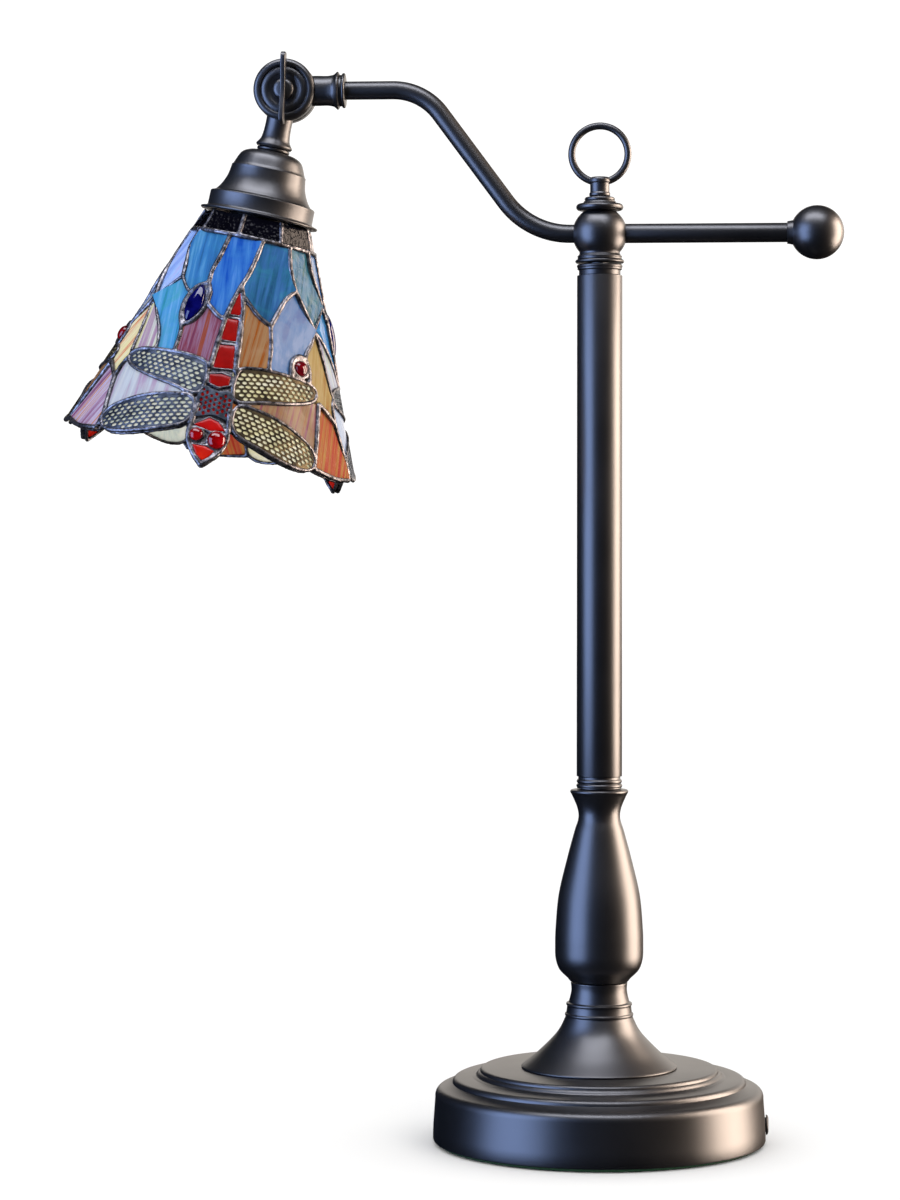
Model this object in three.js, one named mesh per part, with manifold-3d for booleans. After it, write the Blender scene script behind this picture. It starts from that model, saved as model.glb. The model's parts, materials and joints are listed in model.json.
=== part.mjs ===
// A stained glass table lamp. A cone shade of leaded glass with three dragonflies hangs from a
// knuckle at the end of a bent arm. The arm turns on a turned column with a round weighted base,
// and a ball on a short rod balances it on the other side.
// Millimetres, +Z up. The origin is the middle of the felt's underside, on the column's axis.
// The arm lies in the XZ plane: the head hangs on the -X side and the counterweight on the +X side.

import * as THREE from "three";
import { mergeVertices } from "three/addons/utils/BufferGeometryUtils.js";
import { TessellateModifier } from "three/addons/modifiers/TessellateModifier.js";
import Module from "manifold-3d";

const wasm = await Module();
wasm.setup();

const DEG = Math.PI / 180;

// ---- Driving sizes ----

const gap = 0.3; // between pieces that touch
const slack = 0.5; // round a pipe or a stud in its hole

// Base: a spun steel cover over a cast iron weight, on a felt pad
const baseRadius = 93.3;
const baseSideHeight = 28;
const baseStepInset = 11.8;
const baseStepHeight = 36.5;
const baseTopInset = 26.7;
const baseHeight = 41.8;
const baseWall = 2;
const feltThickness = 1.5;
const feltInset = 2.3;
const weightThickness = 17;
const weightHole = 16;
const outletHeight = 10.5; // centre of the cord outlet above the felt's underside
const outletRadius = 3.2;
const bushingWall = 1.2;
const bushingFlange = 1.2;
const nutHeight = 5;

// Column
const trumpetHeight = 47.6;
const trumpetFootRadius = 43.6;
const trumpetNeckRadius = 15.5;
const vaseHeight = 108.5;
const vaseRadius = 24.6;
const vaseNeckRadius = 11.6;
const postRadius = 12.7;
const postWall = 1.5;
const postLength = 280;
const endRingHeight = 6.4;
const spigotLength = 8;
const washerThickness = 1.8;
const pipeRadius = 5;
const pipeWall = 1.4;

// Tee, finial and counterweight
const teeRadius = 15.3;
const teeNeckRadius = 11.95;
const teeBelow = 14.4; // from the tee's foot to the centre of its ball
const teeAbove = 12.5; // from the centre of its ball to its flat top
const capRadius = 13.35;
const capHeight = 7.6;
const finialRadius = 6.15;
const finialHeight = 10.8;
const ringRadius = 15.7; // of the wire's centreline
const ringWireRadius = 2;
const ringSink = 2.9; // how far the wire's centre sits below the finial's top
const rodReach = 120.8; // from the column's axis to the centre of the ball
const ballRadius = 15.05;

// Arm
const armRadius = 5.4;
const armBore = 3.6;
const armReach = 176.5; // from the column's axis to the knuckle's pivot
const armRise = 81; // from the tee's centre to the pivot
const armSlope = 53.4 * DEG;
const armLevelRun = 39.1; // from the column's axis to the lower bend's corner
const lowerBendRadius = 45;
const upperBendRadius = 33;
const collarReach = 33.9; // from the pivot to the collar's open end
const collarRadius = 9.7;
const armSocketDepth = 6.5;

// Knuckle: two half discs side by side on a clamping screw with a wing key
const knuckleRadius = 17.2;
const knuckleThickness = 17;
const knuckleNeckRadius = 7.6;
const screwRadius = 3;
const keyLength = 39.9;
const keyThickness = 2.7;
const keyDepth = 8;
const keyTurn = 2 * DEG;
const hubRadius = 5.9;

// Head: everything hangs on one axis through the pivot, tilted away from the column
const headTilt = 12 * DEG;
const neckEnd = 32.6; // distances below the pivot, along the head's axis
const neckRingHeight = 2;
const neckRingRadius = 9.25;
const holderTop = 35.2;
const holderHeight = 38.1;
const holderWall = 1.5;
const holderRadius = 29.9;
const holderLip = 33.4;
const nippleRadius = 5;
const nippleBore = 3.6;
const socketRadius = 16.5;
const socketGap = 6.5; // from the holder's top to the socket's
const socketLength = 42;
const socketWall = 3;
const bulbCapRadius = 13;
const bulbCapLength = 24;
const bulbRadius = 24;
const bulbLength = 64;
const bulbGlass = 1.2;

// Shade
const shadeHeight = 132.4;
const shadeTopRadius = 29.8;
const shadeBottomRadius = 83.2;
const glassThickness = 3;
const fitterThickness = 1.5;
const lockRingHeight = 4.5;
const lockRingWidth = 4.2;
const bandHeight = 12.4;
const leadGap = 0.9; // lead between two pieces of glass
const dragonflies = 3;
const shadeTurn = 6; // degrees from the front to the first dragonfly
const bodyBulge = 1.2; // how far a dragonfly's body stands proud of the glass

// ---- Levels that follow ----

const trumpetFoot = baseHeight + gap;
const vaseFoot = trumpetFoot + trumpetHeight + gap;
const footRingLevel = vaseFoot + vaseHeight + gap;
const postFoot = footRingLevel + endRingHeight + gap;
const topRingLevel = postFoot + postLength + gap;
const washerLevel = topRingLevel + endRingHeight + gap;
const teeFoot = washerLevel + washerThickness + gap;
const teeLevel = teeFoot + teeBelow;
const teeTop = teeLevel + teeAbove;
const capLevel = teeTop + gap;
const finialLevel = capLevel + capHeight + gap;
const finialTop = finialLevel + finialHeight;
const pivot = new THREE.Vector3(-armReach, 0, teeLevel + armRise);
const shadeTop = holderTop + holderHeight + gap; // below the pivot, as all of the head is
const sector = 360 / dragonflies;
const pipeHole = pipeRadius + slack;
const studRadius = pipeRadius - pipeWall - slack;
const studHole = studRadius + slack;

// ---- Finishes ----

const finish = (color, roughness, metalness) =>
  new THREE.MeshStandardMaterial({ color, roughness, metalness });
const coated = () => finish(0x1c1b20, 0.42, 0.6);
const zinc = () => finish(0x9a9da0, 0.45, 0.9);
const lead = () => finish(0x3b3b3e, 0.45, 0.8);
const glass = (color) => finish(color, 0.15, 0);

// ---- Shape helpers ----

// A solid or a ring turned about Z. Its outline's points are [radius, height]: outside upwards,
// then back down the bore, or from the axis to the axis.
function turned(outline, sides) {
  const points = outline.map(([radius, height]) => new THREE.Vector2(radius, height));
  return new THREE.LatheGeometry(points, sides).rotateX(Math.PI / 2);
}

// The same ring with a plain bore from its foot to its top.
function bored(outline, hole, sides) {
  const [, top] = outline.at(-1);
  const [, foot] = outline[0];
  return turned([[hole, foot], ...outline, [hole, top], [hole, foot]], sides);
}

// A curve through [radius, height] points, for the long curves of turned pieces.
function sweep(points, steps) {
  const curve = new THREE.SplineCurve(points.map(([x, y]) => new THREE.Vector2(x, y)));
  return curve.getPoints(steps).map((p) => [p.x, p.y]);
}

// Part of a circle in [radius, height], from one angle to another in degrees above level.
function arc(centre, height, radius, from, to, steps) {
  return Array.from({ length: steps + 1 }, (_, i) => {
    const angle = (from + ((to - from) * i) / steps) * DEG;
    return [centre + radius * Math.cos(angle), height + radius * Math.sin(angle)];
  });
}

// Boolean work goes through solids of merged triangles.
function solid(geometry) {
  const bare = new THREE.BufferGeometry();
  bare.setAttribute("position", geometry.getAttribute("position"));
  if (geometry.index) bare.setIndex(geometry.index);
  const merged = mergeVertices(bare, 1e-4);
  return new wasm.Manifold(
    new wasm.Mesh({
      numProp: 3,
      vertProperties: merged.getAttribute("position").array,
      triVerts: new Uint32Array(merged.index.array),
    }),
  );
}

function surface(made) {
  const mesh = made.getMesh();
  const geometry = new THREE.BufferGeometry();
  geometry.setAttribute("position", new THREE.BufferAttribute(mesh.vertProperties, 3));
  geometry.setIndex(new THREE.BufferAttribute(mesh.triVerts, 1));
  geometry.computeVertexNormals();
  return geometry;
}

const meet = (first, second) => surface(solid(first).intersect(solid(second)));
const join = (first, ...others) =>
  surface(others.reduce((sum, next) => sum.add(solid(next)), solid(first)));
const cut = (from, ...tools) =>
  surface(tools.reduce((rest, tool) => rest.subtract(solid(tool)), solid(from)));

// A round bar along X, between two places on it.
function barX(radius, from, to, sides) {
  const bar = new THREE.CylinderGeometry(radius, radius, Math.abs(to - from), sides);
  return bar.rotateZ(Math.PI / 2).translate((from + to) / 2, 0, 0);
}

function hexNut(radius, hole, foot, top) {
  const block = new THREE.CylinderGeometry(radius, radius, top - foot, 6);
  block.rotateX(Math.PI / 2).translate(0, 0, (foot + top) / 2);
  const bore = new THREE.CylinderGeometry(hole, hole, 2 * (top - foot), 16);
  bore.rotateX(Math.PI / 2).translate(0, 0, (foot + top) / 2);
  return cut(block, bore);
}

function piece(name, geometry, material) {
  const mesh = new THREE.Mesh(geometry, material);
  mesh.name = name;
  return mesh;
}

// ---- Base ----

function makeBase() {
  const stepRadius = baseRadius - baseStepInset;
  const topRadius = baseRadius - baseTopInset;
  const foot = feltThickness + gap;
  const outside = [
    [baseRadius, foot],
    [baseRadius - 1.5, baseSideHeight - 3],
    [baseRadius - 3, baseSideHeight + 0.5],
    [stepRadius + 5, baseSideHeight + 3],
    [stepRadius + 1.5, baseStepHeight - 2],
    [stepRadius - 1, baseStepHeight],
    [topRadius + 5, baseStepHeight + 1],
    [topRadius, baseHeight - 1],
    [topRadius - 2, baseHeight],
  ];
  const inTop = baseHeight - baseWall;
  const inside = [
    [topRadius - baseWall, inTop],
    [stepRadius - baseWall, baseStepHeight - baseWall],
    [baseRadius - baseWall - 3, baseSideHeight - baseWall + 1],
    [baseRadius - baseWall, foot],
  ];
  const cover = turned(
    [...outside, [pipeHole, baseHeight], [pipeHole, inTop], ...inside, outside[0]],
    36,
  );
  const hole = outletRadius + bushingWall + gap;
  const outlet = barX(hole, baseRadius - 12, baseRadius + 5, 16).translate(0, 0, outletHeight);
  const shell = piece("base_shell", cut(cover, outlet), coated());

  const feltRadius = baseRadius - feltInset;
  const feltSides = 37; // odd, so that no two triangles of its underside meet at the origin
  const feltRim = Array.from({ length: feltSides }, (_, i) => {
    const turn = (2 * Math.PI * i) / feltSides;
    return new THREE.Vector2(feltRadius * Math.cos(turn), feltRadius * Math.sin(turn));
  });
  const felt = new THREE.ExtrudeGeometry(new THREE.Shape(feltRim), {
    depth: feltThickness,
    bevelEnabled: false,
  });

  const weightRadius = baseRadius - baseWall - 3;
  const weightTop = foot + weightThickness;
  const disc = bored([[weightRadius, foot], [weightRadius, weightTop]], weightHole, 36);
  const channelWidth = 4 * outletRadius;
  const channel = new THREE.BoxGeometry(baseRadius, channelWidth, 2 * weightThickness);
  channel.translate(weightHole / 2 + baseRadius / 2, 0, foot + weightThickness);
  const weight = piece("base_weight", cut(disc, channel), finish(0x4a4a4a, 0.8, 0.4));

  const outletX = baseRadius - 1;
  const bush = bored(
    [
      [outletRadius + bushingWall, -baseWall - 3],
      [outletRadius + bushingWall, gap + 0.9],
      [outletRadius + bushingWall + 1.2, gap + 0.9],
      [outletRadius + bushingWall + 0.7, gap + 0.9 + bushingFlange],
    ],
    outletRadius,
    16,
  );
  bush.rotateY(Math.PI / 2).translate(outletX, 0, outletHeight);

  const washerTop = inTop - gap;
  const washer = bored([[13, washerTop - 1.5], [13, washerTop]], pipeHole, 20);
  const nutTop = washerTop - 1.5 - gap;
  const nut = hexNut(9, pipeRadius + gap, nutTop - nutHeight, nutTop);
  return [
    shell,
    piece("base_felt", felt, finish(0x16321f, 0.95, 0)),
    weight,
    piece("cord_bushing", bush, finish(0x111111, 0.6, 0)),
    piece("base_washer", washer, zinc()),
    piece("base_nut", nut, zinc()),
  ];
}

// ---- Column ----

function makeColumn() {
  const collarRadius = trumpetNeckRadius + 3.2;
  const trumpetTop = trumpetFoot + trumpetHeight;
  const bell = sweep(
    [
      [trumpetFootRadius, trumpetFoot + 1],
      [trumpetFootRadius - 10, trumpetFoot + 9],
      [trumpetFootRadius - 20.2, trumpetFoot + 19.8],
      [collarRadius, trumpetFoot + 29.2],
    ],
    6,
  );
  const neck = [
    [collarRadius - 0.2, trumpetTop - 18.2],
    [collarRadius - 1.6, trumpetTop - 11.1],
    [trumpetNeckRadius, trumpetTop - 5],
    [trumpetNeckRadius + 0.4, trumpetTop],
  ];
  const bellFoot = trumpetFootRadius - 6;
  const trumpet = turned(
    [
      [trumpetFootRadius, trumpetFoot],
      ...bell,
      ...neck,
      [pipeHole, trumpetTop],
      [pipeHole, trumpetFoot + 22],
      [bellFoot - 14, trumpetFoot + 9],
      [bellFoot, trumpetFoot],
      [trumpetFootRadius, trumpetFoot],
    ],
    28,
  );

  const vaseTop = vaseFoot + vaseHeight;
  const belly = sweep(
    [
      [trumpetNeckRadius + 1.4, vaseFoot + 0.6],
      [vaseRadius - 2.6, vaseFoot + 6.5],
      [vaseRadius - 0.2, vaseFoot + 13.5],
      [vaseRadius, vaseFoot + 22],
      [vaseRadius - 1.8, vaseTop - 59.5],
      [(vaseRadius + vaseNeckRadius) / 2, vaseTop - 39.5],
      [vaseNeckRadius + 0.5, vaseTop - 19],
      [vaseNeckRadius, vaseTop - 14.5],
      [vaseNeckRadius + 1.6, vaseTop - 7],
      [vaseNeckRadius + 4.4, vaseTop - 2.3],
    ],
    13,
  );
  const vase = bored([...belly, [vaseNeckRadius + 3.4, vaseTop]], pipeHole, 28);

  const spigotRadius = postRadius - postWall - gap;
  const ringGroove = postRadius - 0.9;
  const footRing = bored(
    [
      [postRadius, footRingLevel],
      [postRadius + 0.3, footRingLevel + 2.2],
      [postRadius, footRingLevel + 4.6],
      [ringGroove, footRingLevel + 5],
      [ringGroove, footRingLevel + endRingHeight],
      [spigotRadius, footRingLevel + endRingHeight],
      [spigotRadius, footRingLevel + endRingHeight + spigotLength],
    ],
    pipeHole,
    24,
  );
  const postTop = postFoot + postLength;
  const post = bored([[postRadius, postFoot], [postRadius, postTop]], postRadius - postWall, 28);
  const topRing = bored(
    [
      [spigotRadius, topRingLevel - spigotLength],
      [spigotRadius, topRingLevel],
      [ringGroove - 0.2, topRingLevel],
      [ringGroove - 0.2, topRingLevel + 2.8],
      [postRadius, topRingLevel + 3.2],
      [postRadius, topRingLevel + endRingHeight],
    ],
    pipeHole,
    24,
  );
  const washerRadius = postRadius + 1;
  const washer = bored(
    [[washerRadius, washerLevel], [washerRadius, washerLevel + washerThickness]],
    pipeHole,
    24,
  );
  const pipeFoot = baseHeight - baseWall - nutHeight - 5;
  const pipeTop = teeLevel - 5;
  const pipe = bored([[pipeRadius, pipeFoot], [pipeRadius, pipeTop]], pipeRadius - pipeWall, 14);
  return [
    piece("trumpet_foot", trumpet, coated()),
    piece("vase_body", vase, coated()),
    piece("post_foot_ring", footRing, coated()),
    piece("post_tube", post, coated()),
    piece("post_top_ring", topRing, coated()),
    piece("swivel_washer", washer, coated()),
    piece("tie_pipe", pipe, zinc()),
  ];
}

// ---- Tee, finial and counterweight ----

function makeTee() {
  const seam = -Math.asin(teeNeckRadius / teeRadius);
  const ballFoot = (Math.PI / 2 + seam) * (180 / Math.PI);
  const ballTop = Math.asin(teeAbove / teeRadius) / DEG;
  const ball = bored(
    [
      [teeNeckRadius + 0.4, teeFoot],
      [teeNeckRadius, teeFoot + 1.2],
      ...arc(0, teeLevel, teeRadius, -ballFoot + 2, ballTop, 7),
    ],
    pipeHole,
    24,
  );
  const seat = armRadius + gap;
  const armSeat = barX(seat, -teeRadius - 5, -pipeHole - 2, 16).translate(0, 0, teeLevel);
  const rodSeat = barX(seat, teeRadius + 5, pipeHole + 2, 16).translate(0, 0, teeLevel);

  const rim = 2.1;
  const beadFoot = capLevel + 4.3;
  const cap = bored(
    [
      ...arc(capRadius - rim, capLevel + rim, rim, -90, 90, 4),
      [finialRadius + 1.3, beadFoot],
      [finialRadius + 2.1, beadFoot + 1.6],
      [finialRadius + 1.5, capLevel + capHeight],
    ],
    studHole,
    22,
  );

  const finial = turned(
    [
      [0, teeLevel - 16],
      [studRadius, teeLevel - 16],
      [studRadius, finialLevel],
      [finialRadius, finialLevel],
      [finialRadius, finialTop - 1],
      [finialRadius - 1, finialTop],
      [0, finialTop],
    ],
    20,
  );
  const ringLevel = finialTop - ringSink + ringRadius;
  const loop = (wire) =>
    new THREE.TorusGeometry(ringRadius, wire, 8, 26).rotateX(Math.PI / 2).translate(0, 0, ringLevel);

  const rodStart = pipeHole + 2 + gap;
  const rodEnd = rodReach - 8;
  const rod = barX(armRadius, rodStart, rodEnd, 16).translate(0, 0, teeLevel);
  const weight = new THREE.SphereGeometry(ballRadius, 20, 12).translate(rodReach, 0, teeLevel);
  const weightSeat = barX(armRadius + gap, 0, rodEnd + gap, 16).translate(0, 0, teeLevel);
  return {
    arm: [
      piece("tee_ball", cut(ball, armSeat, rodSeat), coated()),
      piece("counter_rod", rod, coated()),
      piece("counter_ball", cut(weight, weightSeat), coated()),
      piece("finial_cap", cap, coated()),
    ],
    finial: [
      piece("finial_screw", cut(finial, loop(ringWireRadius + gap)), coated()),
      piece("finial_ring", loop(ringWireRadius), coated()),
    ],
  };
}

// ---- Arm ----

// A path in the XZ plane through [x, z] corners, with a round bend at each inner corner.
function bentPath(corners, radii) {
  const path = new THREE.CurvePath();
  let from = new THREE.Vector3(corners[0][0], 0, corners[0][1]);
  radii.forEach((radius, i) => {
    const [before, at, after] = corners.slice(i, i + 3).map(([x, z]) => new THREE.Vector3(x, 0, z));
    const back = before.clone().sub(at).normalize();
    const on = after.clone().sub(at).normalize();
    const half = back.angleTo(on) / 2;
    const start = at.clone().addScaledVector(back, radius / Math.tan(half));
    const centre = back.clone().add(on).setLength(radius / Math.sin(half)).add(at);
    const turn = Math.PI - 2 * half;
    const spoke = start.clone().sub(centre);
    const axis = new THREE.Vector3().crossVectors(spoke, back.clone().negate()).normalize();
    const bend = new THREE.Curve();
    bend.getPoint = (t) => spoke.clone().applyAxisAngle(axis, turn * t).add(centre);
    path.add(new THREE.LineCurve3(from, start));
    path.add(bend);
    from = bend.getPoint(1);
  });
  const [x, z] = corners.at(-1);
  path.add(new THREE.LineCurve3(from, new THREE.Vector3(x, 0, z)));
  return path;
}

function makeArmTube() {
  const end = pivot.x + collarReach - armSocketDepth + gap;
  const upperCorner = -armLevelRun - armRise / Math.tan(armSlope);
  const path = bentPath(
    [
      [-pipeHole - 2 - gap, teeLevel],
      [-armLevelRun, teeLevel],
      [upperCorner, pivot.z],
      [end, pivot.z],
    ],
    [lowerBendRadius, upperBendRadius],
  );
  const section = new THREE.Shape().absarc(0, 0, armRadius, 0, 2 * Math.PI);
  section.holes.push(new THREE.Path().absarc(0, 0, armBore, 0, 2 * Math.PI, true));
  const tube = new THREE.ExtrudeGeometry(section, { steps: 20, curveSegments: 5, extrudePath: path });
  return piece("arm_tube", tube, coated());
}

// One half of the knuckle, with its neck pointing up +Z. The half's disc is on the -Y side when
// side is -1, and the neck's outline starts inside the disc.
function knuckleHalf(side, neckOutline, neckHole) {
  const inner = gap / 2;
  const outer = knuckleThickness / 2;
  const bevel = 1.2;
  const face = [
    [screwRadius + gap, inner],
    [knuckleRadius, inner],
    [knuckleRadius, outer - bevel],
    [knuckleRadius - bevel, outer],
    [knuckleRadius - 3.9, outer],
    [knuckleRadius - 5.5, outer - 0.8],
    [hubRadius + 1.2, outer - 0.8],
    [screwRadius + gap, outer - 0.8],
    [screwRadius + gap, inner],
  ];
  const disc = turned(face, 30).rotateX((side * -Math.PI) / 2);
  const neck = bored(neckOutline, neckHole, 20);
  const clear = knuckleRadius + gap;
  const otherDisc = new THREE.CylinderGeometry(clear, clear, 3 * outer, 30);
  otherDisc.translate(0, -side * (1.5 * outer - inner), 0);
  const bore = new THREE.CylinderGeometry(screwRadius + gap, screwRadius + gap, 3 * outer, 16);
  const half = solid(neck).subtract(solid(otherDisc)).subtract(solid(bore)).add(solid(disc));
  return surface(half);
}

function makeArmKnuckle() {
  const neck = [
    [knuckleNeckRadius + 0.7, knuckleRadius - 4],
    [knuckleNeckRadius + 0.7, collarReach - 9.6],
    [knuckleNeckRadius + 1.3, collarReach - 6.4],
    [knuckleNeckRadius + 3, collarReach - 4.3],
    [knuckleNeckRadius + 1.2, collarReach - 2.2],
    [collarRadius, collarReach - 1.6],
    [collarRadius, collarReach],
  ];
  const half = knuckleHalf(1, neck, armBore).rotateY(Math.PI / 2).translate(pivot.x, 0, pivot.z);
  const mouth = pivot.x + collarReach;
  const seat = barX(armRadius + gap, mouth - armSocketDepth, mouth + 5, 16).translate(0, 0, pivot.z);
  return piece("arm_knuckle", cut(half, seat), coated());
}

// The clamping screw: a wing key in front, a screw through both halves, and a nut behind.
function makeKey() {
  const face = -knuckleThickness / 2 + 0.8 - gap;
  const bladeFoot = face - 2.2;
  const bladeShape = new THREE.Shape();
  const half = keyLength / 2;
  const waist = keyDepth * 0.55;
  bladeShape.moveTo(-half, 0);
  bladeShape.lineTo(half, 0);
  bladeShape.quadraticCurveTo(half + 0.2, keyDepth, half - 6, keyDepth);
  bladeShape.quadraticCurveTo(half / 2, keyDepth, 0, waist);
  bladeShape.quadraticCurveTo(-half / 2, keyDepth, -half + 6, keyDepth);
  bladeShape.quadraticCurveTo(-half - 0.2, keyDepth, -half, 0);
  const blade = new THREE.ExtrudeGeometry(bladeShape, {
    depth: keyThickness,
    bevelEnabled: false,
    curveSegments: 5,
  });
  blade.translate(0, 0, -keyThickness / 2).rotateX(Math.PI).rotateY(Math.PI / 2);
  blade.translate(0, bladeFoot + 0.1, 0);
  const hub = turned([[0, 0], [hubRadius, 0], [hubRadius, 1.6], [hubRadius - 0.8, 2.3], [0, 2.3]], 20);
  hub.rotateX(Math.PI / 2).translate(0, face, 0);
  const screwEnd = knuckleThickness / 2 + 7;
  const screw = new THREE.CylinderGeometry(screwRadius, screwRadius, screwEnd - face + 1, 16);
  screw.translate(0, (screwEnd + face - 1) / 2, 0);
  const key = join(blade, hub, screw);
  key.rotateY(keyTurn).translate(pivot.x, 0, pivot.z);

  const nutRadius = 6;
  const nutFace = knuckleThickness / 2 + gap - 0.8;
  const nut = hexNut(nutRadius, screwRadius + gap, nutFace, nutFace + 4.5);
  nut.rotateX(-Math.PI / 2).translate(pivot.x, 0, pivot.z);
  return { key: [piece("wing_key", key, coated())], nut: piece("knuckle_nut", nut, coated()) };
}

// ---- Head, on its own axis: the pivot is the origin and the head hangs down -Z ----

function makeHeadMetal() {
  const neck = [
    [knuckleNeckRadius - 0.2, knuckleRadius - 4],
    [knuckleNeckRadius, neckEnd - 8.5],
    [knuckleNeckRadius + 1, neckEnd - 4],
    [knuckleNeckRadius + 2.7, neckEnd - 1.1],
    [knuckleNeckRadius + 2, neckEnd],
  ];
  const nippleHole = nippleRadius + gap;
  const half = knuckleHalf(-1, neck, armBore).rotateX(Math.PI);
  const turnedHalf = half.rotateZ(Math.PI);
  const nippleSeat = new THREE.CylinderGeometry(nippleHole, nippleHole, 10, 16);
  nippleSeat.rotateX(Math.PI / 2).translate(0, 0, -neckEnd);
  const knuckle = piece("head_knuckle", cut(turnedHalf, nippleSeat), coated());

  const ringTop = -neckEnd - gap;
  const ring = bored(
    [
      [neckRingRadius, ringTop - neckRingHeight],
      [neckRingRadius, ringTop],
    ],
    nippleHole,
    24,
  );

  const top = -holderTop;
  const lipLevel = top - holderHeight;
  const outside = [
    [holderLip, lipLevel],
    [holderLip, lipLevel + 1.3],
    [holderRadius, lipLevel + 2.3],
    [holderRadius, lipLevel + 10.3],
    [holderRadius - 2.9, lipLevel + 13.3],
    [holderRadius - 6, lipLevel + 17.3],
    [holderRadius - 7.9, lipLevel + 22.3],
    [holderRadius - 9, lipLevel + 26.9],
    [holderRadius - 10.7, top - 6.8],
    [holderRadius - 12.9, top - 2.8],
    [holderRadius - 16.9, top - 0.3],
    [holderRadius - 20.5, top],
  ];
  const ceiling = top - holderWall;
  const inside = [
    [holderRadius - 17, ceiling],
    [holderRadius - 10.7 - holderWall, top - 8],
    [holderRadius - 9 - holderWall, lipLevel + 24],
    [holderRadius - 2.9 - holderWall, lipLevel + 12],
    [holderRadius - holderWall, lipLevel + 8],
    [holderRadius - holderWall, lipLevel],
  ];
  const holder = turned(
    [...outside, [nippleHole, top], [nippleHole, ceiling], ...inside, outside[0]],
    28,
  );

  const socketTop = top - socketGap;
  const nippleTop = -neckEnd + 4.6;
  const nipple = bored(
    [[nippleRadius, socketTop - socketWall], [nippleRadius, nippleTop]],
    nippleBore,
    14,
  );
  const socketFoot = socketTop - socketLength;
  const socketInner = bulbCapRadius + slack;
  const socket = turned(
    [
      [socketRadius, socketFoot],
      [socketRadius, socketTop - 3],
      [socketRadius - 4, socketTop],
      [nippleHole, socketTop],
      [nippleHole, socketTop - socketWall - gap],
      [socketInner, socketTop - socketWall - gap],
      [socketInner, socketFoot],
      [socketRadius, socketFoot],
    ],
    24,
  );

  const capFoot = socketFoot - 1;
  const capTop = capFoot + bulbCapLength;
  const cap = turned(
    [
      [0, capFoot],
      [bulbCapRadius, capFoot],
      [bulbCapRadius, capTop - 5],
      [4, capTop],
      [0, capTop],
    ],
    20,
  );
  const neckRadius = bulbCapRadius - 1;
  const globeTop = capFoot - gap;
  const globeCentre = globeTop - bulbLength + bulbRadius;
  const skin = (radius, end) => [
    ...arc(0, globeCentre, radius, -90, 35, 6),
    [(radius + neckRadius) / 2, globeTop - 15],
    [end, globeTop],
  ];
  const globe = turned(
    [
      [0, globeCentre - bulbRadius],
      ...skin(bulbRadius, neckRadius).slice(1),
      ...skin(bulbRadius - bulbGlass, neckRadius - bulbGlass).reverse().slice(0, -1),
      [0, globeCentre - bulbRadius + bulbGlass],
    ],
    20,
  );

  const fitterLevel = -shadeTop - 1;
  const fitterRadius = coneRadius(shadeHeight - 1) - glassThickness * 1.1 - gap;
  const fitter = bored(
    [[fitterRadius, fitterLevel - fitterThickness], [fitterRadius, fitterLevel]],
    socketRadius + slack,
    32,
  );
  const lockTop = fitterLevel - fitterThickness - gap;
  const lockRing = bored(
    [[socketRadius + lockRingWidth, lockTop - lockRingHeight], [socketRadius + lockRingWidth, lockTop]],
    socketRadius + gap,
    24,
  );
  return [
    knuckle,
    piece("neck_ring", ring, coated()),
    piece("shade_holder", holder, coated()),
    piece("head_nipple", nipple, zinc()),
    piece("lamp_socket", socket, finish(0x15151a, 0.5, 0)),
    piece("bulb_cap", cap, zinc()),
    piece("bulb_globe", globe, glass(0xf4f1e6)),
    piece("shade_fitter", fitter, finish(0xb08a45, 0.4, 0.9)),
    piece("shade_lock_ring", lockRing, finish(0x15151a, 0.5, 0)),
  ];
}

// ---- Shade: glass cut to outlines on a cone ----
// An outline's points are [degrees round from the sector's middle, height above the lower edge],
// anticlockwise as seen from outside.

function coneRadius(up) {
  return shadeBottomRadius + ((shadeTopRadius - shadeBottomRadius) * up) / shadeHeight;
}

// A plate of glass wrapped on the cone, from inner to outer, measured outwards from the outside
// of the glass. The slope along the cone is straight, so only the way round is cut into flats.
function wrapped(outline, inner, outer, middle = 0) {
  const flat = 12; // widest flat, degrees
  const squeeze = 0.04; // a height counts this much when flats are cut
  const shape = new THREE.Shape(outline.map(([angle, up]) => new THREE.Vector2(angle, up * squeeze)));
  const plate = new THREE.ExtrudeGeometry(shape, { depth: outer - inner, bevelEnabled: false });
  plate.deleteAttribute("uv");
  plate.deleteAttribute("normal");
  const cutUp = new TessellateModifier(flat, 16).modify(plate);
  const position = cutUp.getAttribute("position");
  for (let i = 0; i < position.count; i++) {
    const angle = (position.getX(i) + middle + shadeTurn) * DEG;
    const up = position.getY(i) / squeeze;
    const radius = coneRadius(up) + inner + position.getZ(i);
    const level = -shadeTop - shadeHeight + up;
    position.setXYZ(i, radius * Math.sin(angle), -radius * Math.cos(angle), level);
  }
  return cutUp;
}

// A full ring of the cone's glass, between two heights above the lower edge.
function coneRing(low, high) {
  const ring = bored([[coneRadius(low), low], [coneRadius(high), high]], 0, 36);
  const inner = bored(
    [
      [coneRadius(low - 1) - glassThickness, low - 1],
      [coneRadius(high + 1) - glassThickness, high + 1],
    ],
    0,
    36,
  );
  return cut(ring, inner).rotateZ(shadeTurn * DEG).translate(0, 0, -shadeTop - shadeHeight);
}

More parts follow.
